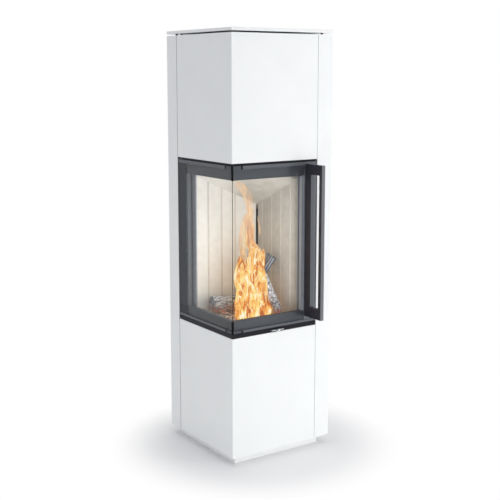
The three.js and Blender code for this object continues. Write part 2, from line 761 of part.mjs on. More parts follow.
// Loop plate that stands square to the front. Its top passes over the retaining strip.
function doorHandle() {
  const seat = GLASS_FACE - FIT;
  const overStrip = STRIP_FACE - FIT;
  const stripLow = STRIP_HEIGHT.top[0] - 1;
  const shape = outline([
    [-HANDLE_REACH, HANDLE_BOTTOM],
    [seat, HANDLE_BOTTOM],
    [seat, stripLow],
    [overStrip, stripLow],
    [overStrip, HANDLE_TOP],
    [-HANDLE_REACH, HANDLE_TOP],
  ]);
  const windowFront = -HANDLE_REACH + HANDLE_FRONT_POST;
  const low = HANDLE_BOTTOM + HANDLE_ARM;
  const high = HANDLE_TOP - HANDLE_ARM + 3;
  shape.holes.push(roundedWindow(windowFront, -HANDLE_REAR_POST, low, high, 4));
  let handle = sideways(shape, HANDLE_X, HANDLE_X + HANDLE_THICK);
  for (const z of Object.values(handleScrewHeights())) {
    handle = handle.subtract(rod([HANDLE_MIDDLE, -16, z], [HANDLE_MIDDLE, 10, z], SCREW_RADIUS + FIT, 16));
  }
  return handle;
}

function handleScrew(z) {
  const seat = FRAME_BACK + FIT;
  const top = seat + SCREW_HEAD_HEIGHT;
  const shank = rod([HANDLE_MIDDLE, -15, z], [HANDLE_MIDDLE, seat + 1, z], SCREW_RADIUS, 16);
  const head = rod([HANDLE_MIDDLE, seat, z], [HANDLE_MIDDLE, top, z], SCREW_HEAD_RADIUS, 16);
  return shank.add(head);
}

const CATCH_Z = 777;
const STRIKE_X = [354, 358];
const STRIKE_TIP = 33;
const ROLLER = [364.5, 29.5];

// Tongue behind the right stile, on a foot that is screwed to the frame.
function doorStrike() {
  const foot = block([346, FRAME_BACK + FIT, CATCH_Z - 14], [STRIKE_X[1], FRAME_BACK + 2.5, CATCH_Z + 14]);
  const tongue = block([STRIKE_X[0], FRAME_BACK + FIT, CATCH_Z - 8], [STRIKE_X[1], STRIKE_TIP, CATCH_Z + 8]);
  return foot.add(tongue);
}

function door() {
  const group = new THREE.Group();
  corner.add(group);
  place('door_frame', doorFrame(), doorPaint(), group);
  const glass = panes();
  place('front_glass', glass.front, clearGlass(), group);
  place('side_glass', glass.side, clearGlass(), group);
  place('door_gasket', ropeLoop(ropePoints(), ROPE_RADIUS), ropeFibre(), group);
  for (const [where, [low, high]] of Object.entries(STRIP_HEIGHT)) {
    const pair = strips(low, high);
    place(`strip_${where}_front`, pair.front, stripPaint(), group);
    place(`strip_${where}_side`, pair.side, stripPaint(), group);
  }
  place('corner_clip_lower', cornerClip(...STRIP_HEIGHT.bottom), doorPaint(), group);
  place('corner_clip_upper', cornerClip(...STRIP_HEIGHT.top), doorPaint(), group);
  place('door_handle', doorHandle(), blackPaint(), group);
  const heights = handleScrewHeights();
  place('handle_screw_lower', handleScrew(heights.lower), bareSteel(), group);
  place('handle_screw_upper', handleScrew(heights.upper), bareSteel(), group);
  place('door_strike', doorStrike(), bareSteel(), group);
}

const PIN_COLLAR_RADIUS = 6.5;

// Fixed pins with a collar that carries the door.
function hingePins() {
  const low = WALL_BOTTOM;
  const high = WALL_TOP;
  const lower = [
    [0, low],
    [PIN_COLLAR_RADIUS, low],
    [PIN_COLLAR_RADIUS, DOOR_BOTTOM - FIT],
    [PIN_RADIUS, DOOR_BOTTOM - FIT],
    [PIN_RADIUS, DOOR_BOTTOM + PIN_REACH - 1],
    [PIN_RADIUS - 1, DOOR_BOTTOM + PIN_REACH],
    [0, DOOR_BOTTOM + PIN_REACH],
  ];
  const upper = [
    [0, DOOR_TOP - PIN_REACH],
    [PIN_RADIUS - 1, DOOR_TOP - PIN_REACH],
    [PIN_RADIUS, DOOR_TOP - PIN_REACH + 1],
    [PIN_RADIUS, DOOR_TOP + 1],
    [PIN_COLLAR_RADIUS, DOOR_TOP + 1],
    [PIN_COLLAR_RADIUS, high],
    [0, high],
  ];
  place('hinge_pin_lower', turned(lower, HINGE_X, HINGE_Y, 24), bareSteel());
  place('hinge_pin_upper', turned(upper, HINGE_X, HINGE_Y, 24), bareSteel());
}

// Roller beside the strike, between two ears of a bracket behind the right jamb.
function doorCatch() {
  const [x, y] = ROLLER;
  const ear = 2;
  const half = 7;
  const plate = block([338, SEAL_BACK + FIT, CATCH_Z - 12], [x + 6, SEAL_BACK + 3, CATCH_Z + 12]);
  const low = block([x - 4.5, y - 4, CATCH_Z - half - ear], [x + 6, SEAL_BACK + 1, CATCH_Z - half]);
  const high = block([x - 4.5, y - 4, CATCH_Z + half], [x + 6, SEAL_BACK + 1, CATCH_Z + half + ear]);
  const pin = uprightRod(x, y - 0.5, 1.5, CATCH_Z - half - ear, CATCH_Z + half + ear, 12);
  place('catch_bracket', join([plate, low, high, pin]), bareSteel());
  const roller = [
    [1.8, CATCH_Z - half + FIT],
    [4, CATCH_Z - half + FIT],
    [4, CATCH_Z + half - FIT],
    [1.8, CATCH_Z + half - FIT],
    [1.8, CATCH_Z - half + FIT],
  ];
  place('catch_roller', turned(roller, x, y - 0.5, 16), polishedSteel());
}

// ---------------------------------------------------------------------------------------------
// Logs
// ---------------------------------------------------------------------------------------------

// Ends of each log's axis, its radius, its number of lobes, where its flat side is cut and its roll.
const LOGS = [
  ['log_rear', [72, 246, 537], [244, 212, 533], 34, 3, 0.86, 0.4],
  ['log_front', [258, 90, 514], [196, 106, 660], 24, 4, 0.8, 2.2],
  ['log_leaning', [152, 166, 543], [272, 147, 716], 25, 3, 0.7, 1.1],
];
const LOG_SIDES = 18;
const LOG_SWELL = 0.06;

// Split log: a lobed round outline with one side cut flat.
function log(from, to, radius, lobes, split, roll) {
  const points = [];
  for (let side = 0; side < LOG_SIDES; side += 1) {
    const angle = (side / LOG_SIDES) * Math.PI * 2;
    const r = radius * (1 - LOG_SWELL + LOG_SWELL * Math.sin(lobes * angle));
    const x = Math.min(r * Math.cos(angle), radius * split);
    points.push([x, r * Math.sin(angle)]);
  }
  const start = new THREE.Vector3(...from);
  const along = new THREE.Vector3(...to).sub(start);
  const options = { depth: along.length(), bevelEnabled: false };
  const geometry = new THREE.ExtrudeGeometry(outline(points), options);
  geometry.rotateZ(roll);
  const forward = new THREE.Vector3(0, 0, 1);
  geometry.applyQuaternion(new THREE.Quaternion().setFromUnitVectors(forward, along.normalize()));
  geometry.translate(start.x, start.y, start.z);
  return solid(geometry);
}

function logs() {
  for (const [name, ...shape] of LOGS) {
    place(name, log(...shape), charredWood());
  }
}

// ---------------------------------------------------------------------------------------------
// The stove
// ---------------------------------------------------------------------------------------------

levellingFeet();
plinth();
basePlate();
cornerPanels();
rightCasing();
rearCasing();
topPlate();
topSpacers();
posts();
baseShelf();
fireboxTop();
fireboxWalls();
sealingFaces();
hearthFloor();
linings();
baffle();
fluePipe();
flueCollar();
airBox();
airInletPipe();
airControl();
hingePins();
doorCatch();
logs();
door();

export default stove;
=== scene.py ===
# %% [markdown]
# # Corner-glazed tiled stove
#
# The stove is a tall white box on a recessed plinth. Its front left corner is a glazed door that
# turns round the corner, and behind it burns a wood fire in a pale fireclay chamber. The packed
# model already holds every solid piece at its real size. This notebook gives those pieces their
# edges and finishes, chars the logs, and adds what only the eye needs: embers, flames and the dark
# seal in the glass corner.

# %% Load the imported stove
import json
import math
import random

import bmesh
import bpy
from mathutils import Matrix, Vector, noise


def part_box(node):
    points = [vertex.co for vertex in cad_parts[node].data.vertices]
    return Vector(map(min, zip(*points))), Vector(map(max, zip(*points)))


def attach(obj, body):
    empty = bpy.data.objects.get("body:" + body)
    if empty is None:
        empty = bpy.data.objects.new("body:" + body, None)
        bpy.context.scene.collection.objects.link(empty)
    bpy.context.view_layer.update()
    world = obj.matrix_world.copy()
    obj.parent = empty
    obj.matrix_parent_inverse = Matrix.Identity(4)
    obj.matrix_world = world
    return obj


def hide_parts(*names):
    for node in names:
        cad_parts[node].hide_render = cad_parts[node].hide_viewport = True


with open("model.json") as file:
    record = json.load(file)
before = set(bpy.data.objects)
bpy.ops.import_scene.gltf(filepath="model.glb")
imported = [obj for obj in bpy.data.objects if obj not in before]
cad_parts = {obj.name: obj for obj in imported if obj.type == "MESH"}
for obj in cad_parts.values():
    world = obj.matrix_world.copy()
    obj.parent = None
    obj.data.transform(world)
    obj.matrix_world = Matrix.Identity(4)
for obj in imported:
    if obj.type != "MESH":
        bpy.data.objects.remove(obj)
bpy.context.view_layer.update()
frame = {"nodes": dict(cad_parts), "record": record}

# %% [markdown]
# Places are easiest to read from the stove's own corner: X from the left face, Y from the front
# face and Z from the floor, in millimetres. The lid covers the whole plan, so its lowest corner is
# that corner, and `here` turns such a place into the scene's metres. What lies behind the glass is
# easier to place as it is seen from the glazed corner, so two level directions are named as well.

# %% Measure from the front left corner
MM = 0.001
lid_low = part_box("top_plate")[0]
CORNER = Vector((lid_low.x, lid_low.y, 0.0))


def here(x, y, z):
    return CORNER + Vector((x, y, z)) * MM


ACROSS = Vector((0.82, -0.57, 0))      # to the right, as seen from the glazed corner
AWAY = Vector((0.57, 0.82, 0))
print("corner at", [round(v, 3) for v in CORNER])

# %% [markdown]
# Colours are written as they look on the screen, from 0 to 255, and `seen` turns them into linear
# light by the curve that every screen follows.

# %% Colours


def seen(red, green, blue):
    def linear(value):
        share = value / 255
        return share / 12.92 if share <= 0.04045 else ((share + 0.055) / 1.055) ** 2.4

    return (linear(red), linear(green), linear(blue), 1.0)


print("mid grey is", round(seen(128, 128, 128)[0], 3), "in linear light")

# %% [markdown]
# A shader is a net of nodes. `feed` gives a node's sockets their values, or links them where the
# value is another node's output. The other helpers each add one kind of node and hand back its
# output, so that a material reads like a short calculation.

# %% Node helpers


def feed(tree, node, sockets):
    for name, value in sockets.items():
        if isinstance(value, bpy.types.NodeSocket):
            tree.links.new(value, node.inputs[name])
        else:
            node.inputs[name].default_value = value


def add_node(tree, kind, sockets=None, **settings):
    node = tree.nodes.new(kind)
    for name, value in settings.items():
        setattr(node, name, value)
    feed(tree, node, sockets or {})
    return node


def own_place(tree):
    """Where a point lies on its own piece, so that a texture moves along with the piece."""
    return add_node(tree, "ShaderNodeTexCoord").outputs["Object"]


def stretched(tree, place, factors):
    node = add_node(tree, "ShaderNodeVectorMath", {0: place, 1: factors}, operation="MULTIPLY")
    return node.outputs[0]


def cloud(tree, place, scale, detail, roughness=0.5, distortion=0.0):
    node = add_node(tree, "ShaderNodeTexNoise", {
        "Vector": place, "Scale": scale, "Detail": detail, "Roughness": roughness,
        "Distortion": distortion})
    return node.outputs["Fac"]


def math_node(tree, operation, *values, clamp=False):
    node = add_node(tree, "ShaderNodeMath", dict(enumerate(values)), operation=operation,
                    use_clamp=clamp)
    return node.outputs[0]


def map_range(tree, value, source=(0.0, 1.0), target=(0.0, 1.0), curve="LINEAR"):
    node = add_node(tree, "ShaderNodeMapRange", {
        "Value": value, "From Min": source[0], "From Max": source[1],
        "To Min": target[0], "To Max": target[1]}, interpolation_type=curve)
    return node.outputs["Result"]


def mix(tree, share, first, second):
    node = add_node(tree, "ShaderNodeMix", {"Factor": share, "A": first, "B": second},
                    data_type="RGBA")
    return node.outputs["Result"]


def colour_ramp(tree, value, stops):
    node = add_node(tree, "ShaderNodeValToRGB", {"Fac": value})
    ends = node.color_ramp.elements
    for element, (position, colour) in ((ends[0], stops[0]), (ends[1], stops[-1])):
        element.position = position
        element.color = colour
    for position, colour in stops[1:-1]:
        ends.new(position).color = colour
    return node.outputs["Color"]


def new_group(name, inputs, outputs):
    group = bpy.data.node_groups.new(name, "ShaderNodeTree")
    for title, kind, value in inputs:
        socket = group.interface.new_socket(title, in_out="INPUT", socket_type=kind)
        socket.default_value = value
    for title, kind in outputs:
        group.interface.new_socket(title, in_out="OUTPUT", socket_type=kind)
    start = group.nodes.new("NodeGroupInput")
    return group, start.outputs, group.nodes.new("NodeGroupOutput")


def new_look(name):
    """Starts a material and returns it with its tree and its Principled shader."""
    made = bpy.data.materials.new(name)
    made.use_nodes = True
    return made, made.node_tree, made.node_tree.nodes["Principled BSDF"]


print("node helpers ready")

# %% [markdown]
# Even a plain glaze isn't one colour: it is a little thicker here and thinner there. The `mottle`
# group mixes two colours by a noise that is fixed to the piece through its Object coordinates.
# `Stretch` pulls the noise out along an axis, which makes the rolling lines of sheet metal from the
# same group. The mask also drives roughness and relief, so colour and surface change together.

# %% Shader group: mottle
mottle, given, end = new_group(
    "mottle",
    [
        ("Light", "NodeSocketColor", (1, 1, 1, 1)),
        ("Dark", "NodeSocketColor", (0.8, 0.8, 0.8, 1)),
        ("Scale", "NodeSocketFloat", 60.0),
        ("Contrast", "NodeSocketFloat", 0.5),
        ("Stretch", "NodeSocketVector", (1, 1, 1)),
    ],
    [("Colour", "NodeSocketColor"), ("Mask", "NodeSocketFloat")],
)
pull = stretched(mottle, own_place(mottle), given["Stretch"])
centred = math_node(mottle, "SUBTRACT", cloud(mottle, pull, given["Scale"], 5.0, 0.55), 0.5)
spread = math_node(mottle, "MULTIPLY_ADD", centred, given["Contrast"], 0.5, clamp=True)
feed(mottle, end, {"Colour": mix(mottle, spread, given["Light"], given["Dark"]), "Mask": spread})
print("built group", mottle.name)

# %% [markdown]
# Dust and ash lie only on what faces up. The `settled` group lays a second colour over a first by
# how far the surface looks to the sky, broken up by noise.

# %% Shader group: settled
settled, given, end = new_group(
    "settled",
    [
        ("Colour", "NodeSocketColor", (1, 1, 1, 1)),
        ("Dust", "NodeSocketColor", (0.7, 0.7, 0.7, 1)),
        ("Amount", "NodeSocketFloat", 0.3),
        ("Scale", "NodeSocketFloat", 90.0),
    ],
    [("Colour", "NodeSocketColor"), ("Mask", "NodeSocketFloat")],
)
facing = add_node(settled, "ShaderNodeNewGeometry").outputs["Normal"]
axes = add_node(settled, "ShaderNodeSeparateXYZ", {0: facing})
upward = math_node(settled, "MAXIMUM", axes.outputs["Z"], 0.0)
lying = math_node(settled, "MULTIPLY", upward, cloud(settled, own_place(settled), given["Scale"], 6.0))
amount = math_node(settled, "MULTIPLY", lying, given["Amount"], clamp=True)
feed(settled, end, {"Colour": mix(settled, amount, given["Colour"], given["Dust"]), "Mask": amount})
print("built group", settled.name)

# %% [markdown]
# One function turns these groups into a finish, because most finishes of the stove differ only in
# a few values: two near colours that mottle into each other, a roughness range and a fine relief.
# The Principled shader stays in the material, and what never changes over the surface, such as
# Metallic, is set on its own socket.

# %% Material builder
RELIEF_DEPTH = 0.5 * MM


def finish(name, light, dark, scale, roughness, relief, metallic=0.0, contrast=1.6,
           stretch=(1, 1, 1), dust=None, dust_amount=0.0, shine=0.5):
    made, tree, shader = new_look(name)
    base = add_node(tree, "ShaderNodeGroup", {
        "Light": seen(*light), "Dark": seen(*dark), "Scale": scale, "Contrast": contrast,
        "Stretch": stretch}, node_tree=mottle)
    colour = base.outputs["Colour"]
    if dust is not None:
        layer = add_node(tree, "ShaderNodeGroup", {
            "Colour": colour, "Dust": seen(*dust), "Amount": dust_amount}, node_tree=settled)
        colour = layer.outputs["Colour"]
    bump = add_node(tree, "ShaderNodeBump", {
        "Strength": relief, "Distance": RELIEF_DEPTH, "Height": base.outputs["Mask"]})
    feed(tree, shader, {
        "Base Color": colour, "Metallic": metallic, "Specular IOR Level": shine,
        "Roughness": map_range(tree, base.outputs["Mask"], target=roughness),
        "Normal": bump.outputs["Normal"]})
    return made


print("material builder ready")

# %% [markdown]
# The tiles carry a smooth white glaze with a soft shine. Its relief is so faint that it shows only
# where a reflection bends. The skirt and the plate under the tiles are painted, so they are duller.
# The backs of the tiles were never glazed and take a grey body colour. The same grey on the faces
# in the seam on the left is painted shade, which darkens the seam.

# %% White finishes
white_glaze = finish("white_glaze", (247, 249, 248), (243, 245, 245), 9.0, (0.2, 0.28), 0.03,
                     dust=(232, 230, 226), dust_amount=0.25)
white_paint = finish("white_paint", (246, 247, 247), (240, 241, 242), 260.0, (0.45, 0.6), 0.12)
# Grey of the unglazed backs, also used as painted shade in the seam.
unglazed_back_and_seam_shade = finish("unglazed_back_and_seam_shade", (150, 148, 146), (128, 126, 124), 180.0, (0.8, 0.95), 0.4)
print("white finishes ready")

# %% [markdown]
# Door and bands are steel in matt stove paint, from near black on the bands to a mid grey on the
# strips that hold the glass. Stove paint has a fine tooth, so the noise is small and the relief
# plain to see close by. The other greys are lit and shaded copies of the same paint. The left side
# of the door frame gets painted shade, the lower rail a deeper painted shade, and one face of the
# left jamb a duller grey as painted shade. The pale jamb grey and the pale grey of the stile are
# painted light that lifts the shade in the rebate and in the handle's shadow. A soft studio doesn't
# part these faces so far, so each has its own mix of the paint.

# %% Stove paints
black_paint = finish("black_paint", (28, 28, 35), (22, 22, 28), 420.0, (0.52, 0.64), 0.25, shine=0.25)
handle_paint = finish("handle_paint", (37, 38, 50), (30, 31, 42), 420.0, (0.5, 0.6), 0.2)
# Painted highlight: a bright grey for the handle's front edge.
handle_front_highlight = finish("handle_front_highlight", (114, 116, 120), (104, 106, 110), 420.0, (0.45, 0.55), 0.2)
door_paint = finish("door_paint", (84, 86, 92), (74, 76, 82), 380.0, (0.5, 0.6), 0.2, shine=0.25)
# Painted shade: a darker copy of the door paint for the faces of the frame that look to the left.
left_side_painted_shade = finish("left_side_painted_shade", (73, 75, 81), (63, 65, 71), 380.0, (0.5, 0.6), 0.2, shine=0.2)
# Painted shade: a still darker copy for the left side of the lower rail.
lower_rail_painted_shade = finish("lower_rail_painted_shade", (61, 63, 69), (52, 54, 60), 380.0, (0.5, 0.6), 0.2, shine=0.2)
# Painted light: a paler copy of the door paint for the frame's front, in the handle's shadow.
stile_painted_light = finish("stile_painted_light", (112, 114, 121), (102, 104, 110), 380.0, (0.5, 0.6), 0.2)
# The strips' own grey, also used as painted light on the handle and on the bed behind the glass.
strip_paint = finish("strip_paint", (102, 105, 110), (92, 95, 100), 380.0, (0.42, 0.52), 0.2, shine=0.3)
# Painted light: a pale grey that lifts the shade in the rebate round the door.
jamb_paint = finish("jamb_paint", (168, 172, 180), (154, 158, 166), 300.0, (0.5, 0.65), 0.2)
# Painted shade: a duller copy of the jamb grey for one face of the left jamb.
rebate_painted_shade = finish("rebate_painted_shade", (145, 149, 155), (135, 138, 144), 300.0, (0.5, 0.65), 0.2)
print("stove paints ready")

# %% [markdown]
# Hidden sheet metal is zinc grey, drawn out in faint rolling lines. The lever and the catch roller
# are polished, with hardly any grain. The rope seal is a tight braid of glass fibre, and the lid
# rests on rubber pads.

# %% Metals, rope and rubber
sheet_steel = finish("sheet_steel", (176, 178, 180), (150, 152, 155), 60.0, (0.32, 0.5), 0.15,
                     metallic=0.85, stretch=(1, 1, 0.08))
polished_steel = finish("polished_steel", (226, 228, 230), (205, 207, 210), 160.0, (0.08, 0.18), 0.04,
                        metallic=1.0)
rope_fibre = finish("rope_fibre", (112, 113, 116), (58, 59, 62), 900.0, (0.85, 0.98), 0.8, contrast=3.0)
rubber_pad = finish("rubber_pad", (44, 45, 48), (30, 31, 34), 500.0, (0.7, 0.85), 0.3)
print("metals, rope and rubber ready")

# %% [markdown]
# The lining is pressed fireclay. It is pale and matt, with coarse grains. The right lining is a
# browner copy of the same clay, painted shade for the side that lies in shade, and the baffle
# overhead is browner than the rear lining as well. The pressed grooves take painted relief shading:
# a little darker than the pale rear lining as painted shade, and a little lighter than the brown
# right one as painted highlight.

# %% Fireclay
fireclay = finish("fireclay", (242, 239, 234), (231, 227, 221), 40.0, (0.85, 0.95), 0.35, contrast=2.2)
# Painted shade: a browner copy of the fireclay for the right lining, which lies in shade.
right_fireclay_shade = finish("right_fireclay_shade", (186, 180, 173), (170, 164, 156), 40.0, (0.85, 0.95), 0.35,
                        contrast=2.2)
baffle_clay = finish("baffle_clay", (192, 187, 180), (176, 170, 162), 26.0, (0.85, 0.95), 0.35,
                     contrast=2.4)
# Painted shade in the grooves of the rear lining.
rear_groove_shade = finish("rear_groove_shade", (226, 219, 211), (212, 204, 195), 60.0, (0.9, 0.97), 0.35,
                     contrast=2.2)
# Painted highlight in the grooves of the right lining.
right_groove_highlight = finish("right_groove_highlight", (202, 196, 188), (186, 179, 170), 60.0, (0.9, 0.97), 0.35,
                      contrast=2.2)
hearth_clay = finish("hearth_clay", (214, 196, 168), (168, 148, 122), 34.0, (0.88, 0.97), 0.5,
                     contrast=2.6, dust=(190, 184, 176), dust_amount=1.2)
print("fireclay ready")

# %% [markdown]
# The baffle isn't evenly brown. Towards the left its colour gives way to a nearly plain, pale
# clay.

# %% Pale end of the baffle
PALE_CLAY = seen(226, 223, 217)
PALE_END, BROWN_END = here(130, 286, 0), here(270, 286, 0)


def paler_at_one_end(made, pale_colour, pale_end, brown_end):
    tree = made.node_tree
    base_colour = tree.nodes["Principled BSDF"].inputs["Base Color"]
    own_brown = base_colour.links[0].from_socket
    along = add_node(tree, "ShaderNodeVectorMath", {0: own_place(tree), 1: ACROSS},
                     operation="DOT_PRODUCT")
    browning = map_range(tree, along.outputs["Value"], (pale_end.dot(ACROSS), brown_end.dot(ACROSS)),
                     curve="SMOOTHSTEP")
    tree.links.new(mix(tree, browning, pale_colour, own_brown), base_colour)


paler_at_one_end(baffle_clay, PALE_CLAY, PALE_END, BROWN_END)
print("baffle paler towards the left")

# %% [markdown]
# The panes are clear glass ceramic, 5 mm thick. A shader that bends light is right for it, but
# lamps can't shine through such a shader, and the fire chamber would go dark. So each pane hides
# from shadow and diffuse rays, which then pass straight, and the eye still gets real glass. The
# panes are bonded edge to edge in the corner with clear adhesive, so no light turns back there:
# the two mitred faces are taken out of the finished copies. The low IOR stands for the coating
# that keeps reflections down, so that the fire shows.

# %% Glass
clear_glass, tree, shader = new_look("clear_glass")
smear = add_node(tree, "ShaderNodeGroup", {
    "Light": seen(250, 252, 251), "Dark": seen(244, 248, 246), "Scale": 7.0}, node_tree=mottle)
feed(tree, shader, {
    "Transmission Weight": 1.0, "IOR": 1.2, "Base Color": smear.outputs["Colour"],
    "Roughness": map_range(tree, smear.outputs["Mask"], target=(0.0, 0.02))})
print("glass ready")

# %% [markdown]
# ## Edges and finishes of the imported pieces
#
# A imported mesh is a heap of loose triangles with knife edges. Real tiles, plates and castings have
# a small radius that catches the light, and without it they look like paper. So each piece is
# copied, its triangles are merged and joined into flat faces, and its sharp edges are bevelled.
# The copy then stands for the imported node. Round pieces are shaded smooth between sharp edges.

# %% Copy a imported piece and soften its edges
BODIES = frame["record"]["behaviour"]["bodies"]
BODY_OF = {node: body for body, nodes in BODIES.items() for node in nodes}
SAME_POINT = 0.002 * MM
FLAT_ANGLE = math.radians(1)
SHARP_ANGLE = math.radians(50)


def new_piece(name, mesh_data, body, materials, smooth_angle=40, even=True):
    mesh = bpy.data.meshes.new(name)
    mesh_data.to_mesh(mesh)
    mesh_data.free()
    for polygon in mesh.polygons:
        polygon.use_smooth = True
    mesh.set_sharp_from_angle(angle=math.radians(smooth_angle))
    for material in materials:
        mesh.materials.append(material)
    piece = bpy.data.objects.new(name, mesh)
    bpy.context.scene.collection.objects.link(piece)
    if even:
        shading = piece.modifiers.new("even_shading", "WEIGHTED_NORMAL")
        shading.keep_sharp = True
        shading.weight = 100
    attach(piece, body)
    return piece


def merged_copy(node):
    """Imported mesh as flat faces, ready to be worked on."""
    copy = bmesh.new()
    copy.from_mesh(frame["nodes"][node].data)
    bmesh.ops.remove_doubles(copy, verts=copy.verts, dist=SAME_POINT)
    bmesh.ops.dissolve_limit(copy, angle_limit=FLAT_ANGLE, verts=copy.verts, edges=copy.edges)
    return copy


def softened(node, material, radius):
    copy = merged_copy(node)
    sharp = [edge for edge in copy.edges if edge.is_manifold and edge.calc_face_angle() > SHARP_ANGLE]
    if radius > 0:
        bmesh.ops.bevel(copy, geom=sharp, offset=radius * MM, offset_type="OFFSET", affect="EDGES",
                        segments=2, profile=0.5, material=-1, clamp_overlap=True)
    piece = new_piece(node + "_finished", copy, BODY_OF[node], [material])
    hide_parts(node)
    return piece


# %% [markdown]
# The table below says for each piece which finish it has and how round its edges are, in
# millimetres. Tiles, handle and clay slabs are the roundest, and sheet metal is the sharpest.

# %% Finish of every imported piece
LOOKS = [
    (white_glaze, 0.8, "lower_corner_panel upper_corner_panel right_casing rear_casing"),
    (white_glaze, 0.3, "top_plate"),
    (white_paint, 0.5, "plinth base_plate"),
    (black_paint, 0.4, "base_shelf firebox_top"),
    (black_paint, 0.3, "flue_collar right_wall rear_wall"),
    (door_paint, 0.4, "door_frame"),
    (door_paint, 0.3, "corner_clip_lower corner_clip_upper"),
    (handle_paint, 0.8, "door_handle"),
    # The jambs, sill and head frame take the pale grey as painted light in the rebate.
    (jamb_paint, 0.4, "right_jamb left_jamb sill_frame head_frame"),
    (fireclay, 0.6, "rear_lining"),
    # Painted shade: the right lining takes the browner copy of the fireclay.
    (right_fireclay_shade, 0.6, "right_lining"),
    (baffle_clay, 0.8, "baffle"),
    (hearth_clay, 0.8, "hearth_floor"),
    (sheet_steel, 0.3, "flue_pipe"),
    (sheet_steel, 0.4, "air_box"),
    (sheet_steel, 0.3, "air_inlet_pipe"),
    (sheet_steel, 0.2, "air_slide"),
    (polished_steel, 0.3, "air_lever"),
    (sheet_steel, 0.2, "hinge_pin_lower hinge_pin_upper catch_bracket"),
    (polished_steel, 0.3, "catch_roller"),
    (sheet_steel, 0.3, "door_strike handle_screw_lower handle_screw_upper"),
    (rope_fibre, 0.0, "door_gasket"),
    (clear_glass, 0.0, "front_glass side_glass"),
    (strip_paint, 0.4, "strip_bottom_front strip_bottom_side strip_top_front strip_top_side"),
]
for number in range(1, 5):
    LOOKS.append((sheet_steel, 0.3, f"levelling_foot_{number}"))
    LOOKS.append((rubber_pad, 0.3, f"top_spacer_{number}"))
LOOKS.append((sheet_steel, 0.4, " ".join(node for node in frame["nodes"] if node.startswith("post_"))))
finished = {node: softened(node, look, radius) for look, radius, nodes in LOOKS for node in nodes.split()}
print("finished", len(finished), "packed pieces")

# %% [markdown]
# The panes meet in a mitre. Its two faces are turned halfway between the front and the side, which
# is how they are found and taken out.

# %% Bond the panes
MITRE_TOLERANCE = 0.1
for pane in (finished["front_glass"], finished["side_glass"]):
    bonded = bmesh.new()
    bonded.from_mesh(pane.data)
    mitre = [face for face in bonded.faces if abs(face.normal.z) < MITRE_TOLERANCE
             and abs(abs(face.normal.x) - abs(face.normal.y)) < MITRE_TOLERANCE]
    bmesh.ops.delete(bonded, geom=mitre, context="FACES_ONLY")
    bonded.to_mesh(pane.data)
    bonded.free()
    pane.visible_shadow = False
    pane.visible_diffuse = False
    print(pane.name, "without", len(mitre), "mitred face")

# %% [markdown]
# Some faces of a piece differ from the rest. `second_finish` picks them by their middle and by the
# way they face. Where only a part of a face differs, `split` cuts it along a plane first.

# %% Second finishes
SQUARE_ON = 0.9        # a face looks straight along an axis
ON_PLANE = 0.001 * MM


def second_finish(piece, material, chosen):
    """Gives another material to the faces that `chosen` picks by their middle and direction."""
    piece.data.materials.append(material)
    picked = [face for face in piece.data.polygons if chosen(face.center, face.normal)]
    for face in picked:
        face.material_index = len(piece.data.materials) - 1
    return len(picked)


def split(piece, at, way):
    """Cuts the faces of a piece along a plane, so that their parts can differ in finish."""
    halves = bmesh.new()
    halves.from_mesh(piece.data)
    everything = halves.verts[:] + halves.edges[:] + halves.faces[:]
    bmesh.ops.bisect_plane(halves, geom=everything, dist=ON_PLANE, plane_co=at, plane_no=way)
    halves.to_mesh(piece.data)
    halves.free()


print("ready to pick faces")

# %% [markdown]
# The backs of the tiles are the faces that lie clear of the tile's outer box. The faces in the seam
# on the left side are found by their distance from the front, and take the grey as painted shade.
# The handle's faces that point forwards take the grey of the strips as a painted highlight, and its
# front edge a brighter painted highlight still.

# %% Backs of the tiles and edge of the handle
SKIN = 1.5 * MM
seam_start, seam_end = here(0, 355, 0).y, here(0, 365, 0).y


def clear_of_box(low, high):
    def chosen(middle, way):
        return all(abs(middle[axis] - side[axis]) >= SKIN for axis in range(3) for side in (low, high))

    return chosen


for node in ("lower_corner_panel", "upper_corner_panel", "right_casing", "rear_casing"):
    inner = second_finish(finished[node], unglazed_back_and_seam_shade, clear_of_box(*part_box(node)))
    # Painted shade: the faces in the seam take the grey of the backs.
    seam = second_finish(finished[node], unglazed_back_and_seam_shade, lambda middle, way: abs(way.y) > SQUARE_ON
                         and seam_start < middle.y < seam_end)
    print(node, "has", inner + seam, "unglazed faces")

handle_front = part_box("door_handle")[0].y + 1 * MM
# Painted highlight on the handle's faces that point forwards, brighter on its front edge.
second_finish(finished["door_handle"], strip_paint, lambda middle, way: way.y < -SQUARE_ON)
edges = second_finish(finished["door_handle"], handle_front_highlight,
                      lambda middle, way: way.y < -SQUARE_ON and middle.y < handle_front)
print("handle has", edges, "bright faces")

# %% [markdown]
# Behind the glass the frame goes on as a bed, which is cut here into rails and stiles. Faces of the
# frame that look to the left take painted shade, deeper on the lower rail. The bed's faces beside
# the glass take painted light: the stile on the right the pale jamb grey, the one on the left the
# grey of the strips. The front of the frame beside the handle is painted paler than the rails,
# painted light in the handle's shadow. The grooves of the linings are found by their depth behind
# the lining's own face, and take painted relief shading.

# %% Frame, jamb and grooves
stile_start, stile_end = here(302.5, 300.5, 0), here(312.5, 310.5, 0)
bed_depth = here(24, 24, 0)
front_skin = here(0, 4, 0).y
rail_low, rail_high = here(0, 0, 529).z, here(0, 0, 1021).z
NEARLY_UPRIGHT, UPRIGHT = 0.5, 0.3
MAINLY = 0.6           # a face looks mainly along an axis
GROOVE_FROM, GROOVE_TO = 1 * MM, 6 * MM


def beside_the_glass(middle, way):
    right = stile_start.x < middle.x < stile_end.x and middle.y < bed_depth.y
    left = stile_start.y < middle.y < stile_end.y and middle.x < bed_depth.x
    return (right or left) and rail_low < middle.z < rail_high and abs(way.z) < NEARLY_UPRIGHT


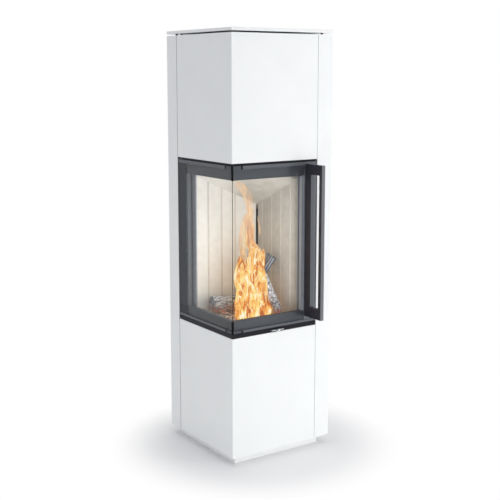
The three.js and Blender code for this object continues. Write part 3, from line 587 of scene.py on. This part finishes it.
def left_side(middle, way):
    return way.x < -SQUARE_ON and middle.x < bed_depth.x


def in_groove(axis, face):
    return lambda middle, way: (abs(way.z) < UPRIGHT
                                and face + GROOVE_FROM < middle[axis] < face + GROOVE_TO)


door_frame = finished["door_frame"]
for level in (rail_low, rail_high):
    split(door_frame, (0, 0, level), (0, 0, 1))
split(door_frame, stile_start, (1, 0, 0))
split(door_frame, stile_start, (0, 1, 0))
# Painted shade on the faces of the frame that look to the left, deeper on the lower rail.
second_finish(door_frame, left_side_painted_shade, left_side)
second_finish(door_frame, lower_rail_painted_shade, lambda middle, way: left_side(middle, way) and middle.z < rail_low)
# Painted light: the bed's faces beside the glass take the pale jamb grey.
second_finish(door_frame, jamb_paint, beside_the_glass)
# Painted light: the bed's left stile takes the grey of the strips.
second_finish(door_frame, strip_paint,
              lambda middle, way: beside_the_glass(middle, way) and middle.y > stile_start.y)
# Painted light on the frame's front beside the handle, where the handle casts its shadow.
second_finish(door_frame, stile_painted_light, lambda middle, way: way.y < -SQUARE_ON
              and middle.x > stile_end.x and middle.y < front_skin)
# Painted shade on the left jamb's left-facing faces in front of the stile; the part behind keeps the pale
# grey as painted light.
split(finished["left_jamb"], stile_start, (0, 1, 0))
second_finish(finished["left_jamb"], rebate_painted_shade,
              lambda middle, way: way.x < -MAINLY and middle.y < stile_start.y)
# Painted relief shading: shade in the rear grooves, highlight in the right ones.
for node, look, axis in (("rear_lining", rear_groove_shade, 1), ("right_lining", right_groove_highlight, 0)):
    grooves = second_finish(finished[node], look, in_groove(axis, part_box(node)[0][axis]))
    print(node, "has", grooves, "groove faces")

# %% [markdown]
# ## Corner seal
#
# The two panes meet without a post. Where the rails lie behind them, a dark bead of seal fills the
# joint and shows as a line a few millimetres wide. It has the same angled section as the clips at
# its ends, so a clip is copied and scaled down in plan and up in height. The line runs on over the
# corner of each clip. Where each strip meets a clip, the strip's end is painted dark as painted
# shade of the gap between them.

# %% Corner seal
SEAL_LEG = 5.5
SEAL_DEPTH = 2.5
GAP_SHADE_LENGTH = 5.0
SEAL_SPANS = {"lower": (495.9, 530.0), "upper": (1020.0, 1056.6)}
seal_and_gap_shade = finish("sealant_and_gap_shade", (16, 16, 19), (9, 9, 12), 300.0, (0.7, 0.85), 0.2, shine=0.1)


def corner_seal(name, clip, bottom, top):
    low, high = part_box(clip)
    bead = merged_copy(clip)
    plan = SEAL_LEG * MM / (high.x - low.x)
    rise = (top - bottom) * MM / (high.z - low.z)
    bmesh.ops.translate(bead, verts=bead.verts, vec=-low)
    bmesh.ops.scale(bead, verts=bead.verts, vec=(plan, plan, rise))
    bmesh.ops.translate(bead, verts=bead.verts, vec=here(SEAL_DEPTH, SEAL_DEPTH, bottom))
    return new_piece(name, bead, "door", [seal_and_gap_shade])


seals = [corner_seal("corner_seal_" + end, "corner_clip_" + end, *span)
         for end, span in SEAL_SPANS.items()]
print("seals", [round(seal.dimensions.z / MM, 1) for seal in seals], "mm high")

# %% Dark corners of the clips and painted gap shade at the strips' ends
for clip in ("corner_clip_lower", "corner_clip_upper"):
    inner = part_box(clip)[0] + Vector((SEAL_LEG, SEAL_LEG, 0)) * MM
    split(finished[clip], inner, (1, 0, 0))
    split(finished[clip], inner, (0, 1, 0))
    second_finish(finished[clip], seal_and_gap_shade,
                  lambda middle, way, inner=inner: middle.x < inner.x and middle.y < inner.y)
# Painted shade: the end of each strip turns dark where it meets a clip, for the gap between them.
for end in ("top", "bottom"):
    for side, axis in (("front", 0), ("side", 1)):
        strip = f"strip_{end}_{side}"
        along = Vector((1 - axis, axis, 0))
        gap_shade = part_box(strip)[0] + along * GAP_SHADE_LENGTH * MM
        split(finished[strip], gap_shade, along)
        second_finish(finished[strip], seal_and_gap_shade,
                      lambda middle, way, gap_shade=gap_shade, axis=axis: middle[axis] < gap_shade[axis])
print("dark plugs", GAP_SHADE_LENGTH, "mm long at the strips' ends")

# %% [markdown]
# ## Logs
#
# The logs are split wood that has burnt for a while: a charred skin cracked into small plates,
# pale ash where the air reaches, and glowing cracks near the embers. Each is drawn along its line
# as a ring that is extruded, scaled and moved step by step, then roughened by pushing its points
# with noise. That gives real bumps in the outline, which a bump map alone would not.

# %% Loft: a ring extruded through a list of places


def loft(mesh, centres, sizes, segments, flatten=1.0, turn=0.0):
    """Adds a closed tapering body whose rings stand square to the first step of the line."""
    first_way = (centres[1] - centres[0]).normalized()
    upright = first_way.to_track_quat("Z", "Y").to_matrix().to_4x4()
    squeeze = Matrix.Rotation(turn, 4, "Z") @ Matrix.Diagonal((1.0, flatten, 1.0, 1.0))
    start = Matrix.Translation(centres[0]) @ upright @ squeeze
    ring = bmesh.ops.create_circle(mesh, cap_ends=True, segments=segments, radius=sizes[0], matrix=start)
    verts = ring["verts"]
    around = dict.fromkeys(edge for vert in verts for edge in vert.link_edges)
    edges = [edge for edge in around if edge.is_boundary]
    made = list(verts)
    for index in range(1, len(centres)):
        grown = bmesh.ops.extrude_edge_only(mesh, edges=edges)["geom"]
        verts = [item for item in grown if isinstance(item, bmesh.types.BMVert)]
        edges = [item for item in grown if isinstance(item, bmesh.types.BMEdge) and item.is_boundary]
        bmesh.ops.translate(mesh, verts=verts, vec=centres[index] - centres[index - 1])
        share = sizes[index] / sizes[index - 1]
        bmesh.ops.scale(mesh, verts=verts, vec=(share, share, share),
                        space=Matrix.Translation(-centres[index]))
        made += verts
    bmesh.ops.holes_fill(mesh, edges=edges, sides=segments)
    bmesh.ops.recalc_face_normals(mesh, faces=mesh.faces)
    return made


print("loft ready")

# %% [markdown]
# Bark runs along a log, and the leaning logs follow no axis. So each log stores where its points
# lie in its own frame, in an attribute called `bark`, and the shader stretches its noise along
# that. Ash settles on top through the `settled` group. The cracks are the lines between the cells
# of a Voronoi texture, and near the embers they glow.

# %% Charred wood material
FIBRE_SCALE, PLATE_SCALE = 95.0, 85.0
CRACK_WIDTH = 0.09
BARK_RELIEF = 2.5 * MM
GLOW_TOP, GLOW_FULL = here(0, 0, 545).z, here(0, 0, 500).z


def charred(name, light, dark, stretch, contrast, ash_amount):
    made, tree, shader = new_look(name)
    bark = add_node(tree, "ShaderNodeAttribute", attribute_name="bark").outputs["Vector"]
    grain = stretched(tree, bark, (1.0, 1.0, stretch))
    fibre = cloud(tree, grain, FIBRE_SCALE, 7.0, 0.68)
    spread = map_range(tree, fibre, (0.5 - 0.5 / contrast, 0.5 + 0.5 / contrast))
    ash = add_node(tree, "ShaderNodeGroup", {
        "Colour": mix(tree, spread, seen(*dark), seen(*light)), "Dust": seen(226, 226, 230),
        "Amount": ash_amount}, node_tree=settled)
    cells = add_node(tree, "ShaderNodeTexVoronoi", {"Vector": grain, "Scale": PLATE_SCALE},
                     feature="DISTANCE_TO_EDGE")
    plate = map_range(tree, cells.outputs["Distance"], (0.0, CRACK_WIDTH))
    bump = add_node(tree, "ShaderNodeBump", {
        "Height": math_node(tree, "MULTIPLY", plate, fibre), "Strength": 0.9,
        "Distance": BARK_RELIEF})
    axes = add_node(tree, "ShaderNodeSeparateXYZ", {0: own_place(tree)})
    low_down = map_range(tree, axes.outputs["Z"], (GLOW_TOP, GLOW_FULL))
    glow = math_node(tree, "MULTIPLY", math_node(tree, "SUBTRACT", 1.0, plate), low_down)
    feed(tree, shader, {
        "Base Color": mix(tree, plate, seen(38, 34, 34), ash.outputs["Colour"]),
        "Roughness": 0.92, "Normal": bump.outputs["Normal"],
        "Emission Color": mix(tree, glow, (0, 0, 0, 1), seen(255, 120, 40)),
        "Emission Strength": 0.55})
    return made


char_mixed = charred("char_mixed", (206, 207, 212), (54, 54, 60), 0.45, 4.0, 0.9)
char_ashen = charred("char_ashen", (216, 210, 212), (112, 106, 110), 0.8, 3.4, 1.2)
char_dark = charred("char_dark", (158, 160, 168), (50, 52, 60), 0.12, 3.6, 0.15)
print("charred wood ready")

# %% [markdown]
# Each log runs between two places and has a radius and a skin. Its core is a little thinner than
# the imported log, and the bark that is pushed in and out of it makes up for that.

# %% The three logs
LOGS = {
    "log_rear": ((72, 246, 537), (244, 212, 533), 34, char_mixed),
    "log_front": ((258, 90, 514), (196, 106, 660), 24, char_ashen),
    "log_leaning": ((152, 166, 543), (272, 147, 716), 25, char_dark),
}
LOG_RINGS = 34
LOG_SEGMENTS = 40
LOG_CORE = 0.86        # share of the radius before the bark is added
LOG_WAVE = 0.05
LOG_FLATTEN = 0.93
END_MARGIN = 2 * MM
BARK_PUSH = 4.5
BARK_SIZE = 13
RIB_SHARE, LUMP_SHARE, SUNKEN = 0.6, 0.4, 0.25


def build_log(node, first, last, radius, look, seed):
    start, end = here(*first), here(*last)
    way = (end - start).normalized()
    length = (end - start).length
    own_frame = way.to_track_quat("Z", "Y").to_matrix().transposed()
    centres, sizes = [], []
    for ring in range(LOG_RINGS):
        centres.append(start + way * (END_MARGIN + (length - 2 * END_MARGIN) * ring / (LOG_RINGS - 1)))
        sizes.append(radius * MM * (LOG_CORE + LOG_WAVE * math.sin(5.0 * ring / LOG_RINGS + seed)))
    mesh = bmesh.new()
    bark = mesh.verts.layers.float_vector.new("bark")
    for vert in loft(mesh, centres, sizes, LOG_SEGMENTS, flatten=LOG_FLATTEN, turn=seed):
        along = (vert.co - start).dot(way)
        out = vert.co - start - way * along
        vert[bark] = own_frame @ (vert.co - start)
        ribs = out / (BARK_SIZE * 0.5 * MM) + way * (along / (BARK_SIZE * 4 * MM)) + Vector((seed, 0, 0))
        lumps = vert.co / (BARK_SIZE * MM) + Vector((0, seed, 0))
        push = RIB_SHARE * noise.noise(ribs) + LUMP_SHARE * noise.noise(lumps) - SUNKEN
        vert.co += out.normalized() * push * BARK_PUSH * MM
    piece = new_piece(node + "_charred", mesh, BODY_OF[node], [look], 55, even=False)
    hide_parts(node)
    return piece


burnt_logs = [build_log(node, *shape, seed) for seed, (node, shape) in enumerate(LOGS.items(), start=1)]
print("logs", [piece.name for piece in burnt_logs])

# %% [markdown]
# ## Embers
#
# Under the logs lies a bed of broken charcoal. Small lumps, each an icosphere that is squashed and
# roughened, are dropped at seeded places and joined in one piece. Noise decides which of them glow
# and which have already gone to ash.

# %% Ember material and bed
embers_look, tree, shader = new_look("embers")
ember_base = add_node(tree, "ShaderNodeGroup", {
    "Light": seen(214, 206, 200), "Dark": seen(60, 52, 52), "Scale": 90.0, "Contrast": 4.0},
    node_tree=mottle)
hot_spots = cloud(tree, own_place(tree), 46.0, 4.0)
feed(tree, shader, {
    "Base Color": ember_base.outputs["Colour"], "Roughness": 0.95, "Emission Strength": 0.9,
    "Emission Color": colour_ramp(tree, hot_spots, [(0.5, (0, 0, 0, 1)), (0.78, seen(255, 132, 56))])})

FLOOR_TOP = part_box("hearth_floor")[1].z
EMBER_COUNT = 120
EMBER_SIZES = (4.5, 10)
EMBER_LIFT = 0.45
EMBER_SQUASH = (1.0, 0.8, 0.6, 1.0)
EMBER_ROUGH, EMBER_NOISE = 0.35, 6 * MM
FLOOR_GAP = 0.2 * MM
BED_MIDDLE, BED_REACH = (176, 166), (106, 92)
draw = random.Random(7)
bed = bmesh.new()
for _ in range(EMBER_COUNT):
    angle = draw.uniform(0, 2 * math.pi)
    reach = math.sqrt(draw.random())
    size = draw.uniform(*EMBER_SIZES) * MM
    centre = here(BED_MIDDLE[0] + BED_REACH[0] * reach * math.cos(angle),
                  BED_MIDDLE[1] + BED_REACH[1] * reach * math.sin(angle), 0)
    centre.z = FLOOR_TOP + size * EMBER_LIFT
    tumble = Vector((draw.random(), draw.random(), 1)).normalized()
    turn = Matrix.Rotation(draw.uniform(0, math.pi), 4, tumble)
    shape = Matrix.Translation(centre) @ Matrix.Diagonal(EMBER_SQUASH) @ turn
    lump = bmesh.ops.create_icosphere(bed, subdivisions=2, radius=size, matrix=shape)
    for vert in lump["verts"]:
        vert.co += (vert.co - centre) * EMBER_ROUGH * noise.noise(vert.co / EMBER_NOISE)
        vert.co.z = max(vert.co.z, FLOOR_TOP + FLOOR_GAP)
embers = new_piece("ember_bed", bed, "stove_body", [embers_look], 60, even=False)
print(embers.name, "of", EMBER_COUNT, "lumps")

# %% [markdown]
# ## Flames
#
# A flame has no surface, but in a still picture it reads as a few overlapping tongues, nearly
# solid in the middle and torn thin at the edge. Colour follows heat, which is made of fine licks, of
# broad bands and of bright threads halfway between those bands, and which falls with height. The
# flame also grows paler and thinner towards the top. Two attributes come from the mesh: how high a
# point lies, and how dense the flame is there, which lets the upper part and the thin veil beside
# it show the lining behind.

# %% Flame material
FLAME_STOPS = [(0.32, seen(186, 96, 52)), (0.4, seen(236, 146, 74)), (0.48, seen(254, 190, 106)),
               (0.57, seen(255, 226, 140)), (0.67, seen(255, 247, 222))]
PALE_FLAME = seen(248, 210, 172)
FLAME_PULL = (1.0, 1.0, 0.26)
LICK_SCALE, BAND_SCALE = 46.0, 17.0
THREAD_WIDTH, THREAD_HEAT = 0.022, 0.3
BAND_HEAT = 0.7
COOLING = -0.16

flame_look, tree, shader = new_look("flame")
rise = add_node(tree, "ShaderNodeAttribute", attribute_name="rise").outputs["Fac"]
density = add_node(tree, "ShaderNodeAttribute", attribute_name="body").outputs["Fac"]
pull = stretched(tree, own_place(tree), FLAME_PULL)
licks = cloud(tree, pull, LICK_SCALE, 7.0, 0.62, 1.2)
broad = math_node(tree, "SUBTRACT", cloud(tree, pull, BAND_SCALE, 2.0, distortion=2.6), 0.5)
thread = map_range(tree, math_node(tree, "ABSOLUTE", broad), (THREAD_WIDTH, 0.0), (0.0, THREAD_HEAT))
cooling = math_node(tree, "MULTIPLY_ADD", rise, COOLING, licks)
heat = math_node(tree, "ADD", cooling, thread)
heat = math_node(tree, "ADD", heat, math_node(tree, "MULTIPLY", broad, BAND_HEAT))
paleness = map_range(tree, rise, (0.42, 0.75), (0.0, 0.75))
rim = add_node(tree, "ShaderNodeLayerWeight", {"Blend": 0.5})
inward = math_node(tree, "SUBTRACT", 1.0, rim.outputs["Facing"])
torn = map_range(tree, cooling, (0.2, 0.5))
thickness = map_range(tree, rise, (0.3, 0.8), (2.6, 1.2))
veil = math_node(tree, "MULTIPLY", torn, thickness)
veil = math_node(tree, "MULTIPLY", veil, inward, clamp=True)
feed(tree, shader, {
    "Base Color": (0, 0, 0, 1), "Roughness": 1.0, "Specular IOR Level": 0.0,
    "Emission Color": mix(tree, paleness, colour_ramp(tree, heat, FLAME_STOPS), PALE_FLAME),
    "Emission Strength": 1.05, "Alpha": math_node(tree, "MULTIPLY", veil, density)})
print("flame material ready")

# %% [markdown]
# Each tongue is lofted through stations that say how far it stands across the view, how far away
# from it, how high and how wide. The tall one leans over to the smoke passage, because the draught
# pulls it there. Low ones in front hide where the flames leave the wood.

# %% Stations of the flame tongues
# Across, away, height and half width, in millimetres.
TONGUES = {
    "tall": [(10, 10, 506, 46), (8, 10, 560, 50), (4, 8, 630, 44), (6, 4, 700, 38), (12, 0, 740, 33),
             (0, -4, 785, 23), (-5, -10, 840, 20), (-5, -18, 893, 19), (-10, -28, 930, 20),
             (-20, -40, 962, 24), (-38, -54, 990, 21), (-54, -60, 1010, 8)],
    "left": [(-18, -16, 503, 38), (-22, -18, 545, 38), (-20, -18, 600, 34), (-26, -16, 650, 30),
             (-34, -12, 690, 16), (-40, -8, 722, 3)],
    "right": [(34, -22, 503, 36), (38, -22, 540, 34), (30, -20, 590, 30), (26, -14, 650, 22),
              (36, -8, 705, 15), (48, -4, 748, 3)],
    "front": [(6, -66, 500, 34), (4, -68, 530, 34), (10, -62, 575, 24), (0, -56, 625, 12),
              (-8, -50, 660, 2)],
    "front_left": [(-36, -46, 500, 24), (-38, -48, 530, 22), (-34, -44, 575, 14), (-40, -40, 618, 2)],
    "front_right": [(48, -46, 500, 24), (50, -50, 540, 24), (46, -62, 590, 20), (42, -64, 640, 21),
                    (38, -62, 680, 15), (34, -58, 714, 3)],
    "wisp": [(33, 0, 802, 2), (34, 0, 822, 5), (29, 0, 845, 4), (26, 0, 868, 1)],
    "veil": [(-24, -6, 700, 8), (-26, -10, 750, 15), (-30, -14, 800, 15), (-24, -20, 850, 9),
             (-20, -24, 880, 1)],
}


def smooth_path(stations, steps):
    """Points along a curve through all the stations, the same number between each two."""
    ends = [stations[0]] + stations + [stations[-1]]
    path = []
    for index in range(1, len(ends) - 2):
        before, this, after, later = (Vector(ends[index + offset]) for offset in (-1, 0, 1, 2))
        for step in range(steps):
            t = step / steps
            path.append(0.5 * (2 * this + (after - before) * t
                               + (2 * before - 5 * this + 4 * after - later) * t ** 2
                               + (3 * this - before - 3 * after + later) * t ** 3))
    path.append(Vector(stations[-1]))
    return path


print("stations for", len(TONGUES), "tongues")

# %% [markdown]
# The rings of a tongue are pushed in and out by two sizes of noise that is drawn out upwards, and
# less where the tongue is narrow, so that a thin tip doesn't turn inside out.

# %% Build the flames
FIRE_MIDDLE = Vector((178, 150, 0))
FLAME_STEPS = 5
FLAME_SEGMENTS = 22
FLAME_FOOT = here(0, 0, 500).z
FLAME_HEIGHT = 0.5
FLAME_FLATTEN = 0.75
VEIL_DENSITY, TOP_LOSS = 0.4, 0.25
SWIRL_SIZES = (34, 13)
SWIRL_RISE = 0.55
SWIRL_PUSH = 13 * MM
SWIRL_SHARE = 0.55


def build_tongue(index, name, stations):
    centres, sizes = [], []
    for across, away, height, half_width in smooth_path(stations, FLAME_STEPS):
        plan = FIRE_MIDDLE + ACROSS * across + AWAY * away
        centres.append(here(plan.x, plan.y, height))
        sizes.append(max(half_width, 1.0) * MM)
    mesh = bmesh.new()
    mesh.verts.layers.float.new("rise")
    mesh.verts.layers.float.new("body")
    rise_layer, body_layer = mesh.verts.layers.float["rise"], mesh.verts.layers.float["body"]
    verts = loft(mesh, centres, sizes, FLAME_SEGMENTS, flatten=FLAME_FLATTEN, turn=0.5 * index)
    for number, vert in enumerate(verts):
        ring = number // FLAME_SEGMENTS
        rise_share = (vert.co.z - FLAME_FOOT) / FLAME_HEIGHT
        vert[rise_layer] = rise_share
        dense = 1.0 - TOP_LOSS * min(max(rise_share, 0), 1)
        vert[body_layer] = VEIL_DENSITY if name == "veil" else dense
        out = vert.co - centres[ring]
        swirl = Vector((vert.co.x, vert.co.y, vert.co.z * SWIRL_RISE)) / MM + Vector((61.0 * index, 0, 0))
        push = noise.noise(swirl / SWIRL_SIZES[0]) + 0.5 * noise.noise(swirl / SWIRL_SIZES[1])
        if out.length > 0.1 * MM:
            vert.co += out.normalized() * push * min(SWIRL_PUSH, SWIRL_SHARE * sizes[ring])
    piece = new_piece("flame_" + name, mesh, "stove_body", [flame_look], 180, even=False)
    piece.visible_shadow = False
    return piece


flames = [build_tongue(index, name, shape) for index, (name, shape) in enumerate(TONGUES.items(), start=1)]
print("flames", [piece.name for piece in flames])

# %% [markdown]
# ## Studio
#
# The photograph has a pure white surround and soft light. The world lights all sides evenly. To the
# camera, to mirrors and to glass it is white, and only what it gives as light is dimmer.

# %% World
WORLD_LIGHT = 0.52
world = bpy.data.worlds.new("studio")
bpy.context.scene.world = world
world.use_nodes = True


def looked_at(tree):
    """1 where the camera looks, also by a mirror or through glass, and 0 for all other light."""
    path = add_node(tree, "ShaderNodeLightPath")
    direct = math_node(tree, "MAXIMUM", path.outputs["Is Camera Ray"], path.outputs["Is Glossy Ray"])
    return math_node(tree, "MAXIMUM", direct, path.outputs["Is Transmission Ray"])


tree = world.node_tree
directly = looked_at(tree)
feed(tree, tree.nodes["Background"], {
    "Color": mix(tree, directly, (0.965, 0.975, 1.02, 1), (1, 1, 1, 1)),
    "Strength": map_range(tree, directly, target=(WORLD_LIGHT, 1.0))})
print("world lights with", WORLD_LIGHT, "of what it shows")

# %% [markdown]
# Near the stove the floor is a real surface that takes its shadow. Farther out it fades to the same
# white as the world.

# %% Floor
FLOOR_RADIUS = 40.0
SHADOW_FADE = (0.28, 0.56)

floor_mesh = bmesh.new()
bmesh.ops.create_circle(floor_mesh, cap_ends=True, segments=64, radius=FLOOR_RADIUS)
floor_data = bpy.data.meshes.new("studio_floor")
floor_mesh.to_mesh(floor_data)
floor_mesh.free()
studio_floor = bpy.data.objects.new("studio_floor", floor_data)
bpy.context.scene.collection.objects.link(studio_floor)

floor_look, tree, shader = new_look("studio_floor")
feed(tree, shader, {"Base Color": seen(250, 250, 250), "Roughness": 0.9})
distance = add_node(tree, "ShaderNodeVectorMath", {0: own_place(tree)}, operation="LENGTH")
fade = map_range(tree, distance.outputs["Value"], SHADOW_FADE, curve="SMOOTHSTEP")
white = add_node(tree, "ShaderNodeEmission")
joined = add_node(tree, "ShaderNodeMixShader", {
    0: math_node(tree, "MULTIPLY", fade, looked_at(tree)), 1: shader.outputs[0], 2: white.outputs[0]})
feed(tree, tree.nodes["Material Output"], {"Surface": joined.outputs[0]})
floor_data.materials.append(floor_look)
print("floor fades out between", SHADOW_FADE, "m")

# %% [markdown]
# The front face is almost white and the left face a pale grey, so the key lamp stands to the right
# of the camera. A wide lamp adds a little on floor and lid. It hangs high, because a near one would
# burn the lid out to plain white before it brightens the floor. Two weak lamps near the floor, one
# on each side, lift the plinth and the foot of the left face. A faint lamp behind the front pane
# adds the daylight that falls in through it, and a small one among the flames the light that they
# give to the lining. No lamp shows in the picture or in a reflection.

# %% Lamps


def add_lamp(name, kind, at, power, colour=(1, 1, 1)):
    data = bpy.data.lights.new(name, kind)
    data.energy = power
    data.color = colour
    lamp = bpy.data.objects.new(name, data)
    bpy.context.scene.collection.objects.link(lamp)
    lamp.location = at
    lamp.visible_camera = False
    lamp.visible_glossy = False
    lamp.visible_transmission = False
    return lamp


def area_lamp(name, at, target, size, power, colour=(1, 1, 1)):
    lamp = add_lamp(name, "AREA", at, power, colour)
    lamp.data.shape = "DISK"
    lamp.data.size = size
    lamp.rotation_euler = (target - at).to_track_quat("-Z", "Y").to_euler()
    return lamp


middle = here(220, 215, 760)
key = area_lamp("key_lamp", Vector((2.6, -3.4, 0.85)), middle, 1.8, 58.0, (1.0, 0.99, 0.975))
overhead = area_lamp("overhead_lamp", Vector((0.0, -0.5, 7.0)), Vector((0.0, 0.0, 0.0)), 5.0, 95.0)
fill = area_lamp("fill_lamp", Vector((-1.7, -0.5, 0.15)), here(0, 215, 100), 1.0, 3.0)
low = area_lamp("low_lamp", Vector((1.1, -2.1, 0.22)), here(200, 0, 30), 1.0, 8.0)
window = area_lamp("window_lamp", here(165, 42, 775), here(165, 286, 775), 0.24, 0.5, (0.95, 0.98, 1.0))
window.data.shape = "RECTANGLE"
window.data.size_y = 0.45
fire_lamp = add_lamp("fire_light", "POINT", here(150, 130, 780), 0.2, (1.0, 0.95, 0.88))
fire_lamp.data.shadow_soft_size = 0.06
print("lamps", [lamp.name for lamp in (key, overhead, fill, low, window, fire_lamp)])

# %% [markdown]
# ## Camera
#
# The photograph's upright edges are nearly parallel. The vanishing points of the two faces give the
# focal length and the angle, and the door's size gives the distance. A level camera with its lens
# shifted far down would match to a pixel, but the same shift would cut the top off in every other
# view. So the camera looks down instead, with a small shift, from the place that keeps the corners
# of the stove within about four pixels of where the photograph has them, those inside the chamber
# within five, and the plinth's front corner within six.

# %% Camera
EYE = (-1790.0, -2722.0, 1374.4)      # from the stove's corner, in millimetres
HEADING = math.radians(34.404)        # from straight at the front, towards the left side
PITCH = math.radians(9.234)
LENS = 69.919
SHIFT = -0.035

camera_data = bpy.data.cameras.new("camera")
camera_data.sensor_width = 36.0
camera_data.lens = LENS
camera_data.shift_y = SHIFT
camera = bpy.data.objects.new("camera", camera_data)
bpy.context.scene.collection.objects.link(camera)
camera.location = here(*EYE)
camera.rotation_euler = (math.radians(90) - PITCH, 0.0, -HEADING)
bpy.context.scene.camera = camera
bpy.context.scene.view_settings.view_transform = "Standard"
print("camera at", [round(v, 3) for v in camera.location])
